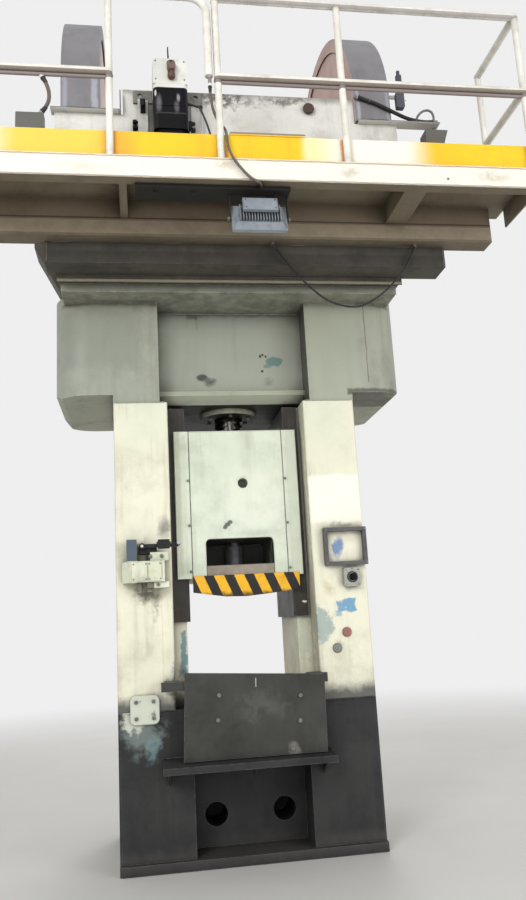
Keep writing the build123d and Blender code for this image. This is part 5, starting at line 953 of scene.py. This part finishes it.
wear("relayPaint", {"color": "#4a4c57", "second": ("#3e404b", 12.0, 0.5), "grime": ("#35353a", 12.0, 0.5),
                    "edges": ("#9a9eab", 0.002, 0.5), "rough": (0.35, 0.5)})
fitHoods(hoodSizes)
print("hoods ready")

# Railings: weld collars, weld beads on the deck and clips of the conduit
railSizes = {"y": -1.499, "rearY": -0.924, "deck": 4.006, "knee": 4.546, "top": 5.082, "pipe": 0.024,
             "post": 0.021, "posts": (-1.599, -0.768, -0.138, 0.612, 1.779), "conduit": 4.509,
             "clips": (-1.42, -1.02)}


def fitRailings(v):
    collars, beads, clips = Part(), Part(), Part()
    for x in v["posts"]:
        for z in (v["knee"], v["top"]):
            collars.lathe((x, v["y"], z - v["pipe"] - 0.004), (0, 0, 1), [
                (0.0, v["post"]), (0.001, v["post"] + 0.003), (0.005, v["post"] + 0.003),
                (0.009, v["post"])], 28)
    for x in (v["posts"][0], v["posts"][-1]):
        beads.ring((x, v["rearY"], v["deck"] + 0.001), (0, 0, 1), v["post"] + 0.0005, 0.0022, 36)
    for x in v["clips"]:
        clips.ring((x, v["y"], v["conduit"]), (1, 0, 0), 0.0118, 0.0016, 24)
        clips.box((x - 0.0025, v["y"] - 0.004, v["conduit"] + 0.010),
                  (x + 0.0025, v["y"] + 0.004, v["knee"] - 0.020))
    collars.done("rail_weld_collars", "frame", "railPaint", "railing_paint")
    beads.done("post_weld_beads", "frame", "railPaint", "railing_paint")
    clips.done("conduit_clips", "frame", "railPaint", "railing_paint")


fitRailings(railSizes)
print("railings ready")


# Weld beads along the joints of the frame, the platform and the bed
beadSizes = {"columnSpan": (0.47, 0.795), "columnFront": -0.502, "webs": (-0.725, 0.180, 0.960),
             "headSeams": (-1.1, -0.4, 0.4, 1.1), "headEnds": (-1.18, 1.37), "coarse": 0.009, "fine": 0.0035}


def weldFrame(v):
    near, far = v["columnSpan"]
    front, coarse, fine = v["columnFront"], v["coarse"], v["fine"]
    beads = Part()
    for side in (-1, 1):
        beads.weld((side * near, front, 2.846), (side * far, front, 2.846), 0.0045, coarse)
    beads.weld((-0.505, -0.301, 3.5425), (0.505, -0.301, 3.5425), 0.0045, coarse)
    beads.done("casting_joint_beads", "frame", "crownPaint", "crown_paint")
    low = Part().weld((-0.545, front, 0.628), (0.478, front, 0.628), 0.005, coarse)
    for side in (-1, 1):
        low.weld((side * near, front, 0.900), (side * far, front, 0.900), 0.0050, coarse)
    low.done("bed_joint_beads", "frame", "bedPaint", "bed_paint")
    seams = Part()
    for x in v["webs"]:
        for dx, y in ((-0.001, -1.508), (0.011, -1.508), (-0.001, -1.043)):
            seams.weld((x + dx, y, 3.882), (x + dx, y, 3.996), fine)
        seams.weld((x + 0.003, -1.43, 3.869), (x + 0.003, -1.05, 3.869), 0.0028)
    for x in v["headSeams"]:
        seams.weld((x - 0.05, -0.948, 3.756), (x + 0.05, -0.948, 3.756), fine)
        seams.weld((x - 0.06, -1.509, 3.999), (x + 0.06, -1.509, 3.999), 0.003)
    for x in v["headEnds"]:
        seams.weld((x, -0.949, 3.622), (x, -0.949, 3.752), fine)
    seams.done("platform_weld_beads", "frame", "platformPaintAndShade", "platform_paint")


weldFrame(beadSizes)

# Covers and screws on the columns' boxes, the trip lever's grip and bracket, the selector's ring
boxSizes = {"left": -0.764, "right": -0.503, "low": 1.674, "high": 1.802, "front": -0.620,
            "coverScrews": (-0.694, -0.618, -0.597, -0.531), "knob": (0.697, -0.546, 1.651),
            "markRadius": 0.0405, "holderFront": -0.540,
            "holderCorners": ((0.541, 1.742), (0.800, 1.742), (0.541, 1.962), (0.800, 1.962)),
            "plugs": ((0.645, 1.306), (0.575, 1.210))}


def fitColumnBoxes(v):
    front, low, high = v["front"], v["low"], v["high"]
    knobX, knobY, knobZ = v["knob"]
    cover = Part()
    cover.box((v["left"] + 0.060, front - 0.003, low + 0.008), (-0.610, front, high - 0.008))
    cover.box((-0.604, front - 0.004, low + 0.006), (-0.524, front, high - 0.006))
    cover.box((-0.518, front - 0.002, low + 0.012), (v["right"] - 0.002, front, high - 0.012))
    cover.done("trip_covers", "frame", "tripPaint", "trip_switch_paint", bevel=0.0015)
    grip = Part()
    grip.box((-0.543, -0.6195, 1.874), (-0.469, -0.6005, 1.932))
    grip.box((-0.550, -0.6150, 1.888), (-0.462, -0.6000, 1.918))
    grip.done("trip_lever_grip", "trip", "leverBlack", "black_steel", bevel=0.004)
    holder = Part()
    holder.box((-0.662, -0.572, 1.846), (-0.548, -0.530, 1.894))
    holder.rod((-0.600, -0.576, 1.870), (-0.600, -0.534, 1.870), 0.019, sides=28)
    holder.done("trip_lever_bracket", "frame", "leverBlack", "black_steel", bevel=0.003)
    screws = Part()
    for x in v["coverScrews"]:
        for z in (low + 0.018, high - 0.018):
            screws.bolt((x, front - 0.003, z), (0, -1, 0), 0.005, 0.003, False)
    screws.bolt((-0.545, front + 0.018, 1.655), (0, -1, 0), 0.010, 0.008)
    for x in (-0.590, -0.520):
        screws.bolt((x, front + 0.0205, 1.830), (0, -1, 0), 0.009, 0.008)
    for dx in (-0.040, 0.040):
        for dz in (-0.046, 0.046):
            screws.bolt((knobX + dx, knobY, knobZ + dz), (0, -1, 0), 0.0055, 0.003, False)
    for x, z in v["holderCorners"]:
        screws.bolt((x, v["holderFront"], z), (0, -1, 0), 0.0075, 0.005, False)
    screws.done("column_screws", "frame", "zincSteel", "zinc_plate", bevel=0.0004)
    panel = Part()
    panel.lathe(v["knob"], (0, -1, 0), [(0.0, 0.029), (0.0, 0.036), (0.0016, 0.035), (0.0016, 0.029)], 40)
    for k in range(3):
        a = radians(45 * (k - 1))
        x, z = knobX + v["markRadius"] * sin(a), knobZ + v["markRadius"] * cos(a)
        panel.box((x - 0.0015, -0.5472, z - 0.003), (x + 0.0015, knobY, z + 0.003))
    panel.box((0.690, -0.552, 1.704), (0.704, knobY, 1.7055))
    panel.done("selector_ring", "frame", "darkSteel", "dark_steel", bevel=0.0003)
    plugs = Part()
    for x, z in v["plugs"]:
        plugs.lathe((x, -0.512, z), (0, -1, 0), [(0.0, 0.0), (0.0, 0.013), (0.004, 0.013), (0.0045, 0.0085),
                                                 (0.0015, 0.008), (0.0015, 0.0)], 6)
        plugs.ring((x, -0.5015, z), (0, 1, 0), 0.0285, 0.0028, 36)
    plugs.done("column_plug_heads", "frame", "coverPaint", "cover_metal", bevel=0.0004)


fitColumnBoxes(boxSizes)


# Slide: joint strips, window lips and the sleeve of the knock-out rod
slideSizes = {"windowHalf": 0.225, "lipOuter": 0.229, "lipFront": -0.3625, "lipBack": -0.300, "lipLow": 1.774,
              "lipHigh": 1.915, "sleeveLow": 1.776}


def fitSlide(v):
    lips = Part()
    lips.box((-v["lipOuter"], v["lipFront"], v["lipLow"]), (-v["windowHalf"], v["lipBack"], v["lipHigh"]))
    lips.box((v["windowHalf"], v["lipFront"], v["lipLow"]), (v["lipOuter"], v["lipBack"], v["lipHigh"]))
    lips.weld((-0.312, -0.361, 2.674), (0.312, -0.361, 2.674), 0.0030)
    for side in (-1, 1):
        lips.box((side * 0.345, -0.3615, 1.73), (side * 0.353, -0.359, 2.64))
    lips.done("slide_trim", "ram", "slidePaint", "slide_paint", bevel=0.0008)
    sleeve = Part()
    sleeve.lathe((0, 0, v["sleeveLow"]), (0, 0, 1), [
        (0.0, 0.0497), (0.0, 0.066), (0.006, 0.068), (0.018, 0.068), (0.022, 0.0655), (0.140, 0.0655),
        (0.144, 0.070), (0.148, 0.070), (0.148, 0.0497), (0.0, 0.0497)], 56)
    sleeve.done("knockout_sleeve", "ram", "sleeveSteel", "machined_steel", angle=30)


fitSlide(slideSizes)


# Drive behind: bearing oilers, motor grille, cylinder ports
driveSizes = {"bearing": 1.260, "bearingTop": 4.973, "bushEnd": 1.362, "shaft": 4.805,
              "ports": (-1.610, -1.770), "motor": (0.494, 1.230, 3.985),
              "grille": (0.040, 0.062, 0.084, 0.106, 0.128), "spoke": 0.135}


def fitDrive(v):
    oilers = Part()
    for side in (-1, 1):
        oilers.lathe((side * v["bearing"], 0, v["bearingTop"]), (0, 0, 1), [
            (0.0, 0.0), (0.0, 0.014), (0.006, 0.014), (0.007, 0.022), (0.030, 0.022), (0.034, 0.016),
            (0.036, 0.016), (0.040, 0.010), (0.040, 0.0)], 28)
        oilers.ring((side * v["bushEnd"], 0, v["shaft"]), (1, 0, 0), 0.0945, 0.0035, 48)
    for x in v["ports"]:
        oilers.rod((x, 0, 4.916), (x, 0, 4.936), 0.011, sides=6)
        oilers.rod((x, 0, 4.934), (x, 0, 4.952), 0.007, 0.006, 20)
    oilers.done("bearing_oilers", "frame", "rustyBrass", "zinc_plate", bevel=0.0008)
    grille = Part()
    x, y, z = v["motor"]
    for r in v["grille"]:
        grille.ring((x, y, z), (1, 0, 0), r, 0.0026, 40)
    for k in range(6):
        a = pi * k / 6
        across, up = v["spoke"] * cos(a), v["spoke"] * sin(a)
        grille.rod((x, y + across, z + up), (x, y - across, z - up), 0.0026, sides=10)
    grille.done("motor_grille", "frame", "darkSteel", "dark_steel")


fitDrive(driveSizes)
print("fittings ready")

# Studio: floor, light and the camera where the photographer stood
studio = {"eye": (-0.633, -5.621, 1.410), "yaw": 8.87, "pitch": 11.97, "roll": 3.13, "lens": 32.0,
          "worldLight": 0.50, "background": 0.86,
          "lamps": (("keyLight", (-5.0, -8.5, 6.5), (0.0, -0.8, 2.6), 4.5, 430.0),
                    ("fillLight", (6.5, -7.0, 3.0), (0.3, -0.6, 2.2), 5.0, 220.0),
                    ("lowLight", (-0.6, -7.5, 0.8), (0.0, -1.0, 3.2), 3.0, 80.0),
                    ("backLight", (2.0, 8.0, 7.5), (0.0, 0.0, 3.5), 5.0, 330.0))}


def setStudio(v):
    scene = bpy.context.scene
    scene.view_settings.view_transform = "Standard"
    world = bpy.data.worlds.new("studioLight")
    world.use_nodes = True
    scene.world = world
    tree = world.node_tree
    back = tree.nodes["Background"]
    back.inputs["Color"].default_value = (1.0, 1.0, 1.0, 1.0)
    path = tree.nodes.new("ShaderNodeLightPath")
    seen = None
    for ray in ("Is Camera Ray", "Is Glossy Ray", "Is Transmission Ray"):
        if seen is None:
            seen = path.outputs[ray]
            continue
        most = tree.nodes.new("ShaderNodeMath")
        most.operation = "MAXIMUM"
        tree.links.new(seen, most.inputs[0])
        tree.links.new(path.outputs[ray], most.inputs[1])
        seen = most.outputs[0]
    level = tree.nodes.new("ShaderNodeMapRange")
    level.inputs[3].default_value, level.inputs[4].default_value = v["worldLight"], v["background"]
    tree.links.new(seen, level.inputs[0])
    tree.links.new(level.outputs[0], back.inputs["Strength"])
    for name, place, target, size, power in v["lamps"]:
        light = bpy.data.lights.new(name, "AREA")
        light.shape, light.size, light.energy = "DISK", size, power
        lamp = bpy.data.objects.new(name, light)
        lamp.location = place
        lamp.rotation_euler = (Vector(target) - Vector(place)).to_track_quat("-Z", "Y").to_euler()
        lamp.visible_glossy = name != "lowLight"
        scene.collection.objects.link(lamp)


def layFloor(v):
    floor = Paint("floorPaint")
    cloud = floor.noise(1.2, 4.0, 0.6)
    floor.feed("Base Color", floor.mix(cloud, "#d9d8d4", "#cfceca"))
    floor.feed("Roughness", cloud.spread(0.7, 0.85))
    reach = floor.vector("LENGTH", floor.place, out="Value")
    seen = floor.node("ShaderNodeLightPath", out="Is Camera Ray")
    glow = floor.node("ShaderNodeEmission", inputs={"Color": (1, 1, 1, 1), "Strength": v["background"]})
    blend = floor.node("ShaderNodeMixShader", inputs={0: reach.between(4.0, 11.0) * seen, 2: glow})
    floor.tree.links.new(floor.shader.outputs[0], blend.socket.node.inputs[1])
    floor.tree.links.new(blend.socket, floor.tree.nodes["Material Output"].inputs["Surface"])
    part = bmesh.new()
    bmesh.ops.create_circle(part, cap_ends=True, segments=96, radius=60.0,
                            matrix=Matrix.Translation((0, 0, -0.002)))
    mesh = bpy.data.meshes.new("studioFloor")
    part.to_mesh(mesh)
    part.free()
    mesh.materials.append(floor.material)
    piece = bpy.data.objects.new("studioFloor", mesh)
    bpy.context.scene.collection.objects.link(piece)


def setCamera(v):
    yaw, pitch, roll = (radians(v[key]) for key in ("yaw", "pitch", "roll"))
    ahead = Vector((sin(yaw) * cos(pitch), cos(yaw) * cos(pitch), sin(pitch)))
    level = Vector((cos(yaw), -sin(yaw), 0.0))
    under = ahead.cross(level)
    right = cos(roll) * level + sin(roll) * under
    down = -sin(roll) * level + cos(roll) * under
    camera = bpy.data.objects.new("camera", bpy.data.cameras.new("camera"))
    camera.data.lens, camera.data.sensor_width = v["lens"], 36.0
    camera.data.clip_start, camera.data.clip_end = 0.05, 200.0
    camera.matrix_world = Matrix.Translation(v["eye"]) @ Matrix((right, -down, -ahead)).transposed().to_4x4()
    bpy.context.scene.collection.objects.link(camera)
    bpy.context.scene.camera = camera


setStudio(studio)
layFloor(studio)
setCamera(studio)
print("studio ready")
